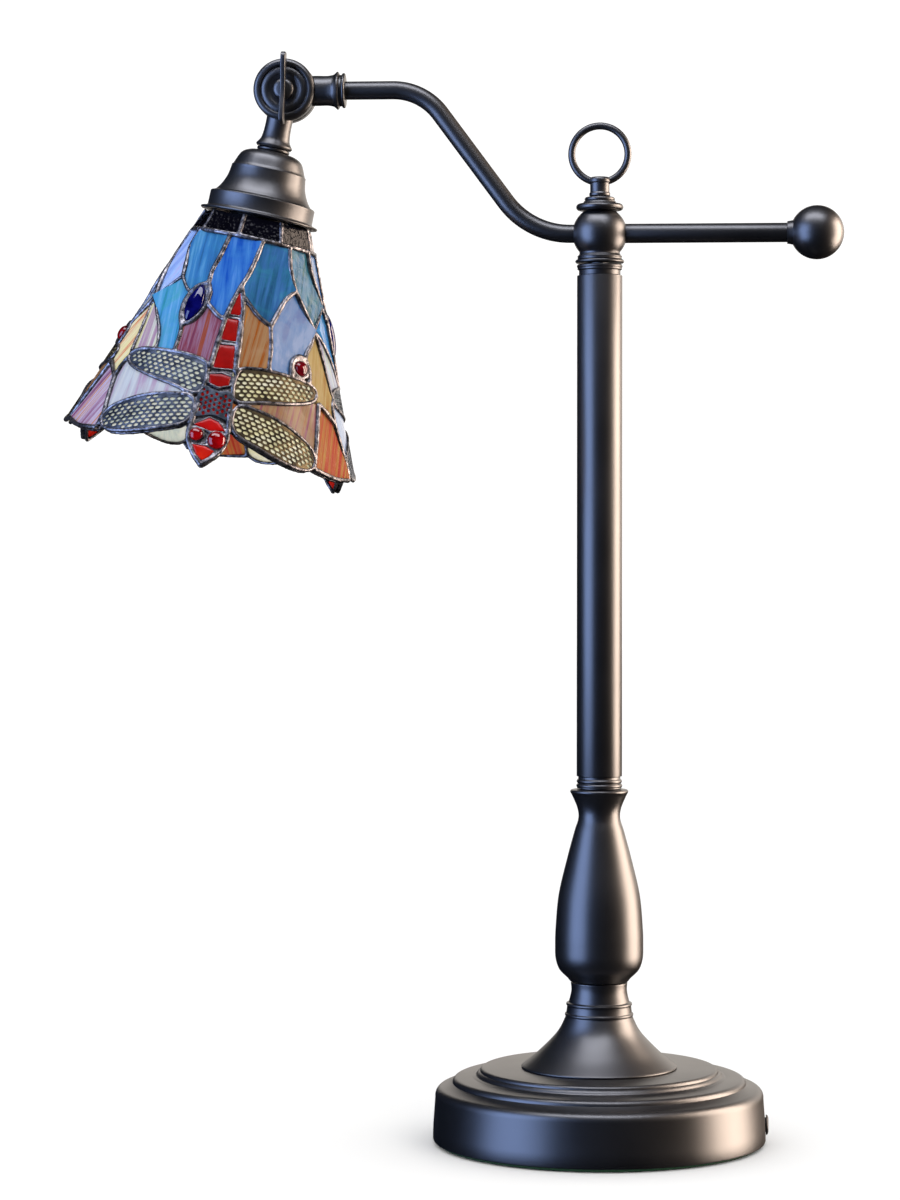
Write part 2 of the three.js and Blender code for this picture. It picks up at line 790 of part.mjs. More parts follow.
// The space of one sector, less half the lead at each side.
function sectorWedge(middle) {
  const reach = 2 * shadeBottomRadius;
  const half = (sector / 2) * DEG;
  const back = leadGap / 2 / Math.sin(half);
  const wedge = new THREE.Shape([
    new THREE.Vector2(0, -back),
    new THREE.Vector2(-reach * Math.sin(half), -back - reach * Math.cos(half)),
    new THREE.Vector2(0, -3 * reach),
    new THREE.Vector2(reach * Math.sin(half), -back - reach * Math.cos(half)),
  ]);
  const space = new THREE.ExtrudeGeometry(wedge, { depth: 2 * shadeHeight, bevelEnabled: false });
  return space.rotateZ((middle + shadeTurn) * DEG).translate(0, 0, -shadeTop - 1.5 * shadeHeight);
}

// The outline moved outwards by a distance in millimetres.
function grown(outline, by) {
  return outline.map(([angle, up], i) => {
    const [backAngle, backUp] = outline.at(i - 1);
    const [nextAngle, nextUp] = outline[(i + 1) % outline.length];
    const degree = coneRadius(up) * DEG;
    const across = (nextAngle - backAngle) * degree;
    const upward = nextUp - backUp;
    const length = Math.hypot(across, upward);
    return [angle + (by * upward) / length / degree, up - (by * across) / length];
  });
}

const mirrored = (outline) => outline.map(([angle, up]) => [-angle, up]).reverse();

const bodySide = [
  [0, -8.5], [5.2, -1], [7.4, 6], [7.4, 14], [6.6, 24], [5.8, 33], [5.3, 46], [4.4, 66], [3.4, 80],
];
const bodyOutline = [...bodySide, [0, 92], ...mirrored(bodySide.slice(1))];
const upperWing = [
  [8, 29.5], [22, 31.5], [38, 34.5], [48, 37.5], [52, 41], [51, 45], [44, 47.5], [30, 48.8],
  [16, 48.6], [7.6, 45],
];
const lowerWing = [
  [9.6, 13], [20, 6.5], [32, 1.5], [41, 0], [46.5, 3.5], [45.5, 12], [35, 20.3], [22, 25.7],
  [9.6, 26],
];
// Below the lower wings there is no glass: the wings and the head are the shade's edge.
const mouth = [
  [-42, -20], [42, -20], [42, 1], [32, 3], [20, 8], [9.6, 15], [-9.6, 15], [-20, 8], [-32, 3], [-42, 1],
];

// A marquise jewel, long across its own tilt.
function marquise(angle, up, length, width, tilt) {
  const degree = coneRadius(up) * DEG;
  const bulge = (length * length) / 4 / width; // from the arcs' chord and depth
  const radius = bulge + width / 4;
  const reach = Math.asin(length / 2 / radius);
  const side = Array.from({ length: 5 }, (_, i) => {
    const a = -reach + (2 * reach * i) / 5;
    return [radius * Math.cos(a) - radius + width / 2, radius * Math.sin(a)];
  });
  const outline = [...side, ...side.map(([x, y]) => [-x, -y])];
  return outline.map(([x, y]) => [
    angle + (x * Math.cos(tilt) - y * Math.sin(tilt)) / degree,
    up + x * Math.sin(tilt) + y * Math.cos(tilt),
  ]);
}

function roundJewel(angle, up, radius) {
  const degree = coneRadius(up) * DEG;
  return Array.from({ length: 12 }, (_, i) => {
    const turn = (i * Math.PI) / 6;
    return [angle + (radius * Math.cos(turn)) / degree, up + radius * Math.sin(turn)];
  });
}

function makeShade() {
  const pieces = [];
  const bandFoot = shadeHeight - bandHeight;
  pieces.push(piece("gallery_band", coneRing(bandFoot, shadeHeight), glass(0x0b0c12)));
  const cone = coneRing(0, bandFoot - gap);

  const wings = {
    upper_right_wing: upperWing,
    upper_left_wing: mirrored(upperWing),
    lower_right_wing: lowerWing,
    lower_left_wing: mirrored(lowerWing),
  };
  const blueJewel = marquise(-26, 77, 25, 10, -12 * DEG);
  const redJewel = roundJewel(42, 54, 4.1);
  const cutProud = 1.5; // a cutting tool passes both faces of the glass
  const cutDepth = glassThickness + cutProud;
  for (let i = 0; i < dragonflies; i++) {
    const middle = i * sector;
    const mark = "abc"[i] ?? String(i);
    const holes = [bodyOutline, ...Object.values(wings), blueJewel, redJewel];
    const tools = holes.map((hole) => wrapped(grown(hole, leadGap), -cutDepth, cutProud, middle));
    const open = wrapped(mouth, -cutDepth, cutProud, middle);
    const field = meet(cone, sectorWedge(middle));
    pieces.push(piece(`glass_field_${mark}`, cut(field, ...tools, open), glass(0x4d86c4)));
    const body = wrapped(bodyOutline, -glassThickness, bodyBulge, middle);
    pieces.push(piece(`dragonfly_body_${mark}`, body, glass(0xb01218)));
    for (const [name, outline] of Object.entries(wings)) {
      const wing = wrapped(outline, -glassThickness, 0, middle);
      pieces.push(piece(`${name}_${mark}`, wing, lead()));
    }
    const jewels = { blue_jewel: [blueJewel, 0x141f8c], red_jewel: [redJewel, 0x7c0a10] };
    for (const [name, [outline, color]] of Object.entries(jewels)) {
      const jewel = wrapped(outline, -glassThickness, 1.6, middle);
      pieces.push(piece(`${name}_${mark}`, jewel, glass(color)));
    }
  }
  return pieces;
}

// ---- The lamp ----

const lamp = new THREE.Group();
lamp.name = "table_lamp";
const tee = makeTee();
const clamp = makeKey();
lamp.add(...makeBase(), ...makeColumn());
lamp.add(...tee.arm, ...tee.finial, makeArmTube(), makeArmKnuckle(), clamp.nut, ...clamp.key);

const head = new THREE.Group();
head.position.copy(pivot);
head.rotation.y = headTilt;
head.add(...makeHeadMetal(), ...makeShade());
lamp.add(head);

export default lamp;
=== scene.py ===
import json
import math
import random

import bpy
from mathutils import Matrix, Vector, noise


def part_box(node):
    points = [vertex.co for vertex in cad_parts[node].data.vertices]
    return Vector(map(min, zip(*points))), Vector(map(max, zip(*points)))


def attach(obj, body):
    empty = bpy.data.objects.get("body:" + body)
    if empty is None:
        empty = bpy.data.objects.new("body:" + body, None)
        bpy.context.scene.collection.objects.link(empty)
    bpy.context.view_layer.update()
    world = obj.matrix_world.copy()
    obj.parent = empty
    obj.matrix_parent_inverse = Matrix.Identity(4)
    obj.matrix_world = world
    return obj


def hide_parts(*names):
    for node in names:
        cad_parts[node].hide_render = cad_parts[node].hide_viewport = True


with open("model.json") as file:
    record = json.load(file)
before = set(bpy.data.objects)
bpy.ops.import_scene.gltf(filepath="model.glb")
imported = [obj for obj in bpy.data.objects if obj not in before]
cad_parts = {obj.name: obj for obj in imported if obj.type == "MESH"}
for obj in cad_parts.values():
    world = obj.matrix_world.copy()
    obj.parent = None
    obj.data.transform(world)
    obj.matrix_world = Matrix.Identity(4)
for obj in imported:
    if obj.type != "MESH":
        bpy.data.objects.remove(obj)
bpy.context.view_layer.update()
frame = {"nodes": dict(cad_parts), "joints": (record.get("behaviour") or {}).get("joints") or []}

MM = 0.001


# ---- Studio: a white table and room, a cool softbox on the left and a warm one on the right ----
# The lamp stands on a matte white table. The table and the room light it evenly but do not show
# in the gloss, so the dark metal carries only the softboxes.
def linear(colour):
    """An sRGB hex colour as a linear RGBA tuple."""
    channels = [int(colour[i:i + 2], 16) / 255 for i in (1, 3, 5)]
    return (*(c / 12.92 if c < 0.04045 else ((c + 0.055) / 1.055) ** 2.4 for c in channels), 1.0)


def add_node(tree, kind, inputs=None, **settings):
    """A node with its settings, whose inputs are values or other nodes' outputs."""
    node = tree.nodes.new(kind)
    for name, value in settings.items():
        setattr(node, name, value)
    for name, value in (inputs or {}).items():
        if isinstance(value, bpy.types.NodeSocket):
            tree.links.new(value, node.inputs[name])
        else:
            node.inputs[name].default_value = value
    return node


def new_material(name, **sockets):
    """A material with one Principled shader, whose constants sit on its own sockets."""
    material = bpy.data.materials.new(name)
    material.use_nodes = True
    tree = material.node_tree
    shader = tree.nodes["Principled BSDF"]
    for socket, value in sockets.items():
        shader.inputs[socket.replace("_", " ")].default_value = value
    return material, tree, shader


def deselect():
    bpy.ops.object.select_all(action="DESELECT")


def pick(piece):
    """Only this piece is selected, and it is the active one."""
    deselect()
    piece.select_set(True)
    bpy.context.view_layer.objects.active = piece


camera_azimuth = math.radians(4)
camera_distance = 1.848
camera_height = 0.340
camera_offset = -0.0837
camera_pitch = math.radians(-1.11)
to_right = Vector((math.cos(camera_azimuth), math.sin(camera_azimuth), 0))
to_camera = Vector((math.sin(camera_azimuth), -math.cos(camera_azimuth), 0))

camera_data = bpy.data.cameras.new("camera")
camera_data.lens = 99.0
camera_data.sensor_width = 36.0
camera = bpy.data.objects.new("camera", camera_data)
bpy.context.scene.collection.objects.link(camera)
camera.location = (
    to_camera * camera_distance + to_right * camera_offset + Vector((0, 0, camera_height)))
camera.rotation_euler = (math.pi / 2 + camera_pitch, 0, camera_azimuth)
bpy.context.scene.camera = camera

table_paint, tree, shader = new_material(
    "matte_white_laminate", Roughness=0.9, Specular_IOR_Level=0.0)
speckle = add_node(tree, "ShaderNodeTexNoise", {"Scale": 40.0, "Detail": 2.0})
tone = add_node(tree, "ShaderNodeValToRGB", {"Fac": speckle.outputs["Fac"]})
tone.color_ramp.elements[0].color = linear("#f6f6f6")
tone.color_ramp.elements[1].color = linear("#fcfcfc")
tree.links.new(tone.outputs["Color"], shader.inputs["Base Color"])
deselect()
bpy.ops.mesh.primitive_plane_add(size=16, location=(0, 0, -0.0003))
table_top = bpy.context.object
table_top.name = "table_top"
table_top.data.materials.append(table_paint)
table_top.visible_glossy = False

room = bpy.data.worlds.new("white_room")
room.use_nodes = True
room.node_tree.nodes["Background"].inputs["Color"].default_value = (1, 1, 1, 1)
room.node_tree.nodes["Background"].inputs["Strength"].default_value = 1.12
bpy.context.scene.world = room
room.cycles_visibility.glossy = False
bpy.context.scene.view_settings.view_transform = "Standard"


light_target = Vector((0, 0, 0.32))


def softbox(name, angle, distance, height, width, tall, power, colour):
    """A tall area light round the column, at an angle to the right of the camera's direction."""
    light = bpy.data.lights.new(name, "AREA")
    light.shape = "RECTANGLE"
    light.size = width
    light.size_y = tall
    light.energy = power
    light.color = linear(colour)[:3]
    lamp = bpy.data.objects.new(name, light)
    bpy.context.scene.collection.objects.link(lamp)
    turn = math.radians(angle)
    away = to_camera * math.cos(turn) + to_right * math.sin(turn)
    lamp.location = away * distance + Vector((0, 0, height))
    aim = light_target - lamp.location
    lamp.rotation_euler = aim.to_track_quat("-Z", "Y").to_euler()
    return lamp


# The strips and the panel show only in the gloss, and the key light only in the body colours.
for strip in (
        softbox("warm_strip", 98, 1.5, 0.45, 1.1, 1.8, 100, "#ffe6d2"),
        softbox("cool_strip", -62, 1.6, 0.45, 1.3, 1.8, 52, "#a6c2ff"),
        softbox("overhead_strip", -20, 0.5, 1.9, 1.8, 0.7, 34, "#f0f2ff"),
        softbox("back_panel", 165, 2.4, 0.80, 3.0, 1.4, 20, "#fff6ec")):
    strip.visible_diffuse = False
    strip.visible_camera = False
key_softbox = softbox("key_softbox", 35, 1.8, 1.20, 0.8, 0.8, 5, "#fff4ea")
key_softbox.visible_glossy = False
key_softbox.visible_camera = False


# ---- Base cover: a spun steel cover with two soft steps ----
# It is spun from sheet over the cast iron weight and finished, as all the metalwork is, in a satin
# black-bronze lacquer. The cord leaves it by a bushed hole low in its side.
def arc(centre, level, radius, start, end, steps):
    """Part of a circle as (radius, level) points, from one angle above level to another."""
    angles = [math.radians(start + (end - start) * i / steps) for i in range(steps + 1)]
    return [(centre + radius * math.cos(a), level + radius * math.sin(a)) for a in angles]


def flowing(points, per_span=5):
    """A smooth curve through the points."""
    ends = [points[0], *points, points[-1]]
    curve = []
    for a, b, c, d in zip(ends, ends[1:], ends[2:], ends[3:]):
        for i in range(per_span):
            t = i / per_span
            curve.append(tuple(
                0.5 * (2 * q + (r - p) * t + (2 * p - 5 * q + 4 * r - s) * t * t
                       + (3 * q - p - 3 * r + s) * t ** 3)
                for p, q, r, s in zip(a, b, c, d)))
    return [*curve, points[-1]]


def close_and_smooth(piece, edge=0.25, angle=38):
    """Merged, closed, faced outwards, its hard edges broken, and shaded smooth."""
    bpy.ops.mesh.select_all(action="SELECT")
    bpy.ops.mesh.remove_doubles(threshold=1e-6)
    bpy.ops.mesh.fill_holes(sides=0)
    bpy.ops.mesh.select_all(action="SELECT")
    bpy.ops.mesh.normals_make_consistent(inside=False)
    bpy.ops.object.mode_set(mode="OBJECT")
    if edge:
        bevel = piece.modifiers.new("broken edges", "BEVEL")
        bevel.width = edge * MM
        bevel.segments = 2
        bevel.limit_method = "ANGLE"
        bevel.angle_limit = math.radians(angle)
        bpy.ops.object.modifier_apply(modifier=bevel.name)
    bpy.ops.object.shade_smooth_by_angle(angle=math.radians(angle))


def turned(name, outline, edge=0.25, sides=112):
    """A turned piece in millimetres about Z: a circle drawn along (radius, level) points."""
    deselect()
    radius, level = outline[0]
    bpy.ops.mesh.primitive_circle_add(
        vertices=sides, radius=radius * MM, fill_type="NOTHING", location=(0, 0, level * MM))
    piece = bpy.context.object
    piece.name = name
    bpy.ops.object.transform_apply(location=True, rotation=False, scale=False)
    bpy.ops.object.mode_set(mode="EDIT")
    bpy.ops.mesh.select_all(action="SELECT")
    for next_radius, next_level in outline[1:]:
        rise = (next_level - level) * MM
        bpy.ops.mesh.extrude_region_move(TRANSFORM_OT_translate={"value": (0, 0, rise)})
        share = next_radius / radius
        bpy.ops.transform.resize(value=(share, share, 1), center_override=(0, 0, next_level * MM))
        radius, level = next_radius, next_level
    close_and_smooth(piece, edge)
    return piece


def settle(piece, body, slot, material, *nodes):
    """The finished piece gets its material and its body, and stands for its design nodes."""
    piece.data.materials.clear()
    piece.data.materials.append(material)
    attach(piece, body)
    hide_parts(*nodes)
    return piece


def span(node):
    """A design node's radius across X or Y, whichever is less, and its foot and top, in mm."""
    low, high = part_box(node)
    return min(high.x - low.x, high.y - low.y) / 2 / MM, low.z / MM, high.z / MM


def mottled(name, size, detail, dark, light, stops=(0, 1), gloss=None, skin=None, lumps=0.5,
            **sockets):
    """A material whose tone, and its gloss if given, drift over a size in mm.

    A skin is a fine relief: its size in mm, its detail, its strength and its depth in mm."""
    material, tree, shader = new_material(name, **sockets)
    place = add_node(tree, "ShaderNodeTexCoord").outputs["Object"]
    drift = add_node(tree, "ShaderNodeTexNoise", {
        "Vector": place, "Scale": 1000 / size, "Detail": detail, "Roughness": lumps})
    tint = add_node(tree, "ShaderNodeValToRGB", {"Fac": drift.outputs["Fac"]})
    for element, stop, colour in zip(tint.color_ramp.elements, stops, (dark, light)):
        element.position = stop
        element.color = linear(colour)
    tree.links.new(tint.outputs["Color"], shader.inputs["Base Color"])
    if gloss:
        spread = add_node(tree, "ShaderNodeMapRange", {
            "Value": drift.outputs["Fac"], "To Min": gloss[0], "To Max": gloss[1]})
        tree.links.new(spread.outputs["Result"], shader.inputs["Roughness"])
    if skin:
        relief = add_node(tree, "ShaderNodeTexNoise", {
            "Vector": place, "Scale": 1000 / skin[0], "Detail": skin[1]})
        bump = add_node(tree, "ShaderNodeBump", {
            "Height": relief.outputs["Fac"], "Strength": skin[2], "Distance": skin[3] * MM})
        tree.links.new(bump.outputs["Normal"], shader.inputs["Normal"])
    return material


def cut_away(piece, cutter):
    """The cutter's shape is cut out of the piece, and the cutter goes."""
    cut = piece.modifiers.new("cut", "BOOLEAN")
    cut.object = cutter
    cut.solver = "EXACT"
    pick(piece)
    bpy.ops.object.modifier_apply(modifier=cut.name)
    bpy.data.objects.remove(cutter)


# Satin black-bronze lacquer baked on the steel: nearly black between the lights, with broad soft
# highlights. Its tone and its gloss drift a little over about 30 mm.
satin_bronze = mottled(
    "satin_black_bronze", 30, 3.0, "#07070d", "#0e0d13", (0.3, 0.7), (0.36, 0.43),
    Specular_IOR_Level=1.0)

base_radius, base_foot, base_top = span("base_shell")
step_radius = base_radius - 11.8
plate_radius = base_radius - 26.7
step_level = base_top - 5.3
side_level = base_top - 13.8
cover_wall = 2.0
cover_outline = [
    (base_radius - 0.2, base_foot),
    (base_radius, base_foot + 0.6),
    (base_radius - 0.2, base_foot + 8),
    (base_radius - 1.3, side_level - 3),
    *arc(base_radius - 6.2, side_level - 1.6, 4.9, 0, 80, 8),
    (step_radius + 3.6, side_level + 4.0),
    *arc(step_radius - 2.4, step_level - 3.2, 3.2, 5, 85, 7),
    (plate_radius + 5.0, step_level + 0.4),
    *arc(plate_radius + 4.6, step_level + 3.6, 3.2, 265, 200, 5),
    *arc(plate_radius - 2.0, base_top - 2.2, 2.2, 5, 90, 6),
    (8, base_top),
    (8, base_top - cover_wall),
    (plate_radius - 3, base_top - cover_wall),
    (step_radius - 3, step_level - cover_wall - 0.5),
    (base_radius - cover_wall - 4, side_level - 1),
    (base_radius - cover_wall, side_level - 8),
    (base_radius - cover_wall, base_foot),
    (base_radius - 0.2, base_foot),
]
base_cover = turned("base_cover", cover_outline, edge=0)

outlet_low, outlet_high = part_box("cord_bushing")
outlet_level = (outlet_low.z + outlet_high.z) / 2
outlet_radius = (outlet_high.z - outlet_low.z) / 2 - 1.0 * MM
deselect()
bpy.ops.mesh.primitive_cylinder_add(
    vertices=32, radius=outlet_radius, depth=0.03,
    location=(outlet_high.x - 0.006, 0, outlet_level), rotation=(0, math.pi / 2, 0))
cut_away(base_cover, bpy.context.object)
bpy.ops.object.shade_smooth_by_angle(angle=math.radians(38))
settle(base_cover, "stand", "bronze_coat", satin_bronze, "base_shell")


# ---- What the base holds: the weight, the felt, the nut and washer, and the cord bushing ----
# The cast iron disc lies on a pad of pressed wool felt. The zinc plated nut and washer pull the
# column down on the cover, and a bushing moulded in black phenolic lines the cord's hole.
cast_iron = mottled("cast_iron", 1.2, 3.0, "#2e2d2d", "#4b4947", Metallic=0.6, Roughness=0.75)
green_felt = mottled(
    "pressed_wool_felt", 0.8, 4.0, "#10301c", "#2f5a3c", skin=(0.8, 4.0, 0.5, 0.3), Roughness=0.95)
zinc_plate = mottled(
    "zinc_plated_steel", 3, 2.0, "#a8abad", "#c4c7c9", gloss=(0.3, 0.5), Metallic=1.0)
black_phenolic = mottled(
    "moulded_black_phenolic", 4, 3.0, "#0c0c0e", "#18181b", gloss=(0.35, 0.55))


def dress(material, slot, *nodes):
    """Design nodes that stay as they are get a better material."""
    for name in nodes:
        mesh = frame["nodes"][name].data
        mesh.materials.clear()
        mesh.materials.append(material)


dress(cast_iron, "cast_iron", "base_weight")
dress(zinc_plate, "zinc_steel", "base_washer", "base_nut", "tie_pipe", "head_nipple")

felt_radius, felt_foot, felt_top = span("base_felt")
felt_pad = turned("felt_pad", [
    (0.05, felt_foot), (felt_radius - 0.4, felt_foot), (felt_radius, felt_foot + 0.4),
    (felt_radius, felt_top), (0.05, felt_top)])
settle(felt_pad, "stand", "green_felt", green_felt, "base_felt")

bush_radius = outlet_radius / MM
bore_radius = 3.2
bushing = turned("cord_bushing_liner", [
    (bore_radius, -7.4), (bush_radius - 0.4, -7.4), (bush_radius - 0.4, -1.3),
    (bush_radius + 1.0, -1.3), *arc(bush_radius, -1.2, 1.0, 0, 90, 4),
    *arc(bore_radius + 1.0, -1.0, 1.0, 90, 180, 4), (bore_radius, -7.4)], edge=0.1, sides=40)
bushing.data.transform(
    Matrix.Translation((outlet_high.x, 0, outlet_level)) @ Matrix.Rotation(math.pi / 2, 4, "Y"))
settle(bushing, "stand", "black_plastic", black_phenolic, "cord_bushing")


# ---- Column: trumpet foot, vase, end rings and the straight post ----
# The trumpet and the vase are hollow turned castings, the post is a plain steel tube, and a ring
# with a fine groove covers each of its ends. The tie pipe inside clamps them all together.
trumpet_radius, trumpet_foot, trumpet_top = span("trumpet_foot")
pipe_bore = 5.6
collar = 18.7
trumpet = turned("trumpet_foot_turned", [
    (pipe_bore, trumpet_foot), (trumpet_radius, trumpet_foot),
    (trumpet_radius, trumpet_foot + 0.7),
    *flowing([(trumpet_radius - 1.2, trumpet_foot + 1.6),
              (trumpet_radius - 10, trumpet_foot + 8.9),
              (trumpet_radius - 20.2, trumpet_foot + 19.6),
              (collar, trumpet_foot + 28.6)], 7),
    (collar + 0.5, trumpet_foot + 29.2), (collar + 0.5, trumpet_foot + 30.2),
    (collar - 0.3, trumpet_foot + 30.6), (collar - 0.8, trumpet_foot + 34.6),
    (collar - 0.2, trumpet_foot + 35.1), (collar - 0.3, trumpet_foot + 36.1),
    *flowing([(collar - 1.7, trumpet_foot + 36.6), (15.6, trumpet_foot + 42.9),
              (15.9, trumpet_top)], 6),
    (pipe_bore, trumpet_top), (pipe_bore, trumpet_foot)], edge=0.2)
settle(trumpet, "stand", "bronze_coat", satin_bronze, "trumpet_foot")

vase_radius, vase_foot, vase_top = span("vase_body")
vase = turned("vase_turned", [
    (pipe_bore, vase_foot), (16.4, vase_foot), (16.9, vase_foot + 0.6),
    *flowing([(17.6, vase_foot + 1.6), (vase_radius - 2.4, vase_foot + 6.4),
              (vase_radius - 0.3, vase_foot + 12.5), (vase_radius, vase_foot + 20),
              (vase_radius - 0.3, vase_foot + 30), (vase_radius - 2.0, vase_top - 59.5),
              (18.1, vase_top - 39.5), (vase_radius - 10.8, vase_top - 24),
              (11.7, vase_top - 16.5), (12.4, vase_top - 10.5), (15.4, vase_top - 3.4)], 6),
    *arc(15.2, vase_top - 1.6, 1.1, -40, 90, 6), (pipe_bore, vase_top), (pipe_bore, vase_foot)],
    edge=0)
settle(vase, "stand", "bronze_coat", satin_bronze, "vase_body")

post_radius, post_foot, post_top = span("post_tube")
post = turned("post_turned", [
    (post_radius - 1.5, post_foot), (post_radius, post_foot), (post_radius, post_top),
    (post_radius - 1.5, post_top), (post_radius - 1.5, post_foot)], edge=0.2)
settle(post, "stand", "bronze_coat", satin_bronze, "post_tube")

_, ring_foot, ring_top = span("post_foot_ring")
ring_shoulder = ring_top - 8
foot_ring = turned("post_foot_ring_turned", [
    (pipe_bore, ring_foot), (post_radius - 0.2, ring_foot),
    *arc(post_radius - 0.9, ring_foot + 1.4, 1.1, -60, 60, 5),
    (post_radius - 0.7, ring_foot + 2.7), *arc(post_radius - 1.2, ring_foot + 3.9, 1.2, -50, 60, 5),
    (post_radius - 0.9, ring_foot + 5.4), (post_radius - 0.9, ring_shoulder),
    (post_radius - 2, ring_shoulder), (post_radius - 2, ring_top), (pipe_bore, ring_top),
    (pipe_bore, ring_foot)], edge=0.1)
settle(foot_ring, "stand", "bronze_coat", satin_bronze, "post_foot_ring")

_, ring_foot, ring_top = span("post_top_ring")
ring_shoulder = ring_foot + 8
top_ring = turned("post_top_ring_turned", [
    (pipe_bore, ring_foot), (post_radius - 2, ring_foot), (post_radius - 2, ring_shoulder),
    (post_radius - 1.1, ring_shoulder), (post_radius - 1.1, ring_shoulder + 2.6),
    (post_radius - 0.2, ring_shoulder + 3.1),
    *arc(post_radius - 1.0, ring_top - 1.5, 1.1, -50, 60, 6), (pipe_bore, ring_top),
    (pipe_bore, ring_foot)], edge=0.1)
settle(top_ring, "stand", "bronze_coat", satin_bronze, "post_top_ring")

washer_radius, washer_foot, washer_top = span("swivel_washer")
swivel_washer = turned("swivel_washer_turned", [
    (pipe_bore, washer_foot), (washer_radius - 0.5, washer_foot),
    *arc(washer_radius - 0.9, (washer_foot + washer_top) / 2, 0.9, -80, 80, 6),
    (washer_radius - 0.5, washer_top), (pipe_bore, washer_top), (pipe_bore, washer_foot)], edge=0)
settle(swivel_washer, "stand", "bronze_coat", satin_bronze, "swivel_washer")


# ---- Tee, cap and finial ----
# The tee is a turned ball on a short foot, drilled for the arm and for the counterweight's rod.
# Above it sit a rolled cap and the finial, whose screw clamps the tee and carries the finger ring.
_, tee_foot, tee_top = span("tee_ball")
tee_radius = 15.3
tee_level = tee_foot + 14.4
tee = turned("tee_turned", [
    (pipe_bore, tee_foot), (12.3, tee_foot), (12.4, tee_foot + 0.7),
    *arc(12.0, tee_foot + 1.5, 0.5, -60, 60, 3), (11.7, tee_foot + 2.4),
    (11.3, tee_foot + 3.4), (11.4, tee_foot + 4.0),
    *arc(0, tee_level, tee_radius, -43, 54, 16), (pipe_bore, tee_top), (pipe_bore, tee_foot)],
    edge=0.2)
settle(tee, "arm", "bronze_coat", satin_bronze, "tee_ball")

cap_radius, cap_foot, cap_top = span("finial_cap")
stud_bore = 3.6
cap_bead = cap_radius - 4.9
cap = turned("finial_cap_turned", [
    (stud_bore, cap_foot), (cap_radius - 2.6, cap_foot),
    *arc(cap_radius - 1.9, cap_foot + 1.9, 1.9, -70, 88, 10),
    *arc(cap_bead + 2.2, cap_foot + 5.4, 1.6, 265, 190, 5),
    *arc(cap_bead - 1.0, cap_top - 1.3, 1.2, -50, 80, 6), (stud_bore, cap_top),
    (stud_bore, cap_foot)], edge=0)
settle(cap, "arm", "bronze_coat", satin_bronze, "finial_cap")

loop_low, loop_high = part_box("finial_ring")
wire_radius = (loop_high.y - loop_low.y) / 2 / MM
loop_radius = (loop_high.x - loop_low.x) / 2 / MM - wire_radius
loop_level = (loop_low.z + loop_high.z) / 2 / MM
_, screw_foot, screw_top = span("finial_screw")
finial = turned("finial_turned", [
    (0.05, screw_foot), (3.0, screw_foot), (3.0, cap_top + 0.2), (5.3, cap_top + 0.2),
    (5.9, cap_top + 0.8), (5.9, cap_top + 2.0), (5.4, cap_top + 2.6),
    (5.4, screw_top - 3.4), (6.0, screw_top - 2.8), (6.1, screw_top - 1.4),
    (5.6, screw_top - 0.5), (4.6, screw_top), (0.05, screw_top)], edge=0.15, sides=64)
settle(finial, "finial", "bronze_coat", satin_bronze, "finial_screw")

deselect()
bpy.ops.mesh.primitive_torus_add(
    major_segments=112, minor_segments=24, major_radius=loop_radius * MM,
    minor_radius=wire_radius * MM, location=(0, 0, loop_level * MM), rotation=(math.pi / 2, 0, 0))
finger_ring = bpy.context.object
finger_ring.name = "finger_ring"
bpy.ops.object.transform_apply(location=True, rotation=True, scale=True)
bpy.ops.object.shade_smooth()
settle(finger_ring, "finial", "bronze_coat", satin_bronze, "finial_ring")


# ---- Counterweight: a plain rod with a small fillet and a turned ball ----
# The rod is pressed into the tee. The ball is drilled for it and balances the head.
rod_low, rod_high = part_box("counter_rod")
rod_radius = (rod_high.z - rod_low.z) / 2 / MM
ball_low, ball_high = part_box("counter_ball")
ball_radius = (ball_high.z - ball_low.z) / 2 / MM
ball_reach = ball_high.x / MM - ball_radius
rod_end = rod_high.x / MM
along_x = Matrix.Translation((0, 0, tee_level * MM)) @ Matrix.Rotation(math.pi / 2, 4, "Y")
rod = turned("counter_rod_turned", [
    (0.05, rod_low.x / MM), (rod_radius, rod_low.x / MM), (rod_radius, rod_end), (0.05, rod_end)],
    edge=0.1, sides=64)
rod.data.transform(along_x)
settle(rod, "arm", "bronze_coat", satin_bronze, "counter_rod")
ball = turned("counter_ball_turned", [
    (rod_radius + 0.2, ball_reach - ball_radius - 1.6),
    (rod_radius + 0.9, ball_reach - ball_radius - 1.4),
    (rod_radius + 1.1, ball_reach - ball_radius),
    (rod_radius + 1.4, ball_reach - ball_radius * math.cos(math.radians(26))),
    *[(ball_radius * math.sin(a), ball_reach - ball_radius * math.cos(a))
      for a in [math.radians(27 + 152.5 * i / 22) for i in range(23)]]], edge=0, sides=96)
ball.data.transform(along_x)
settle(ball, "arm", "bronze_coat", satin_bronze, "counter_ball")


# ---- Arm: a steel tube bent twice ----
# It leaves the tee level, climbs, and ends level again in the knuckle's collar.
def strung(line, points, closed=False):
    """One more run of straight steps through the points, on a curve."""
    run = line.splines.new("POLY")
    run.points.add(len(points) - 1)
    for place_on, point in zip(run.points, points):
        place_on.co = (*point, 1)
    run.use_cyclic_u = closed
    return run


def as_mesh(name, line):
    """A curve's shape as a mesh piece."""
    piece = bpy.data.objects.new(name, line)
    bpy.context.scene.collection.objects.link(piece)
    pick(piece)
    bpy.ops.object.convert(target="MESH")
    return bpy.context.object


def bar_along(name, points, radius, rings=40):
    """A round bar of one radius along a line of points, in metres, with closed ends."""
    line = bpy.data.curves.new(name, "CURVE")
    line.dimensions = "3D"
    line.bevel_depth = radius
    line.bevel_resolution = rings // 4
    line.use_fill_caps = True
    strung(line, points)
    return as_mesh(name, line)


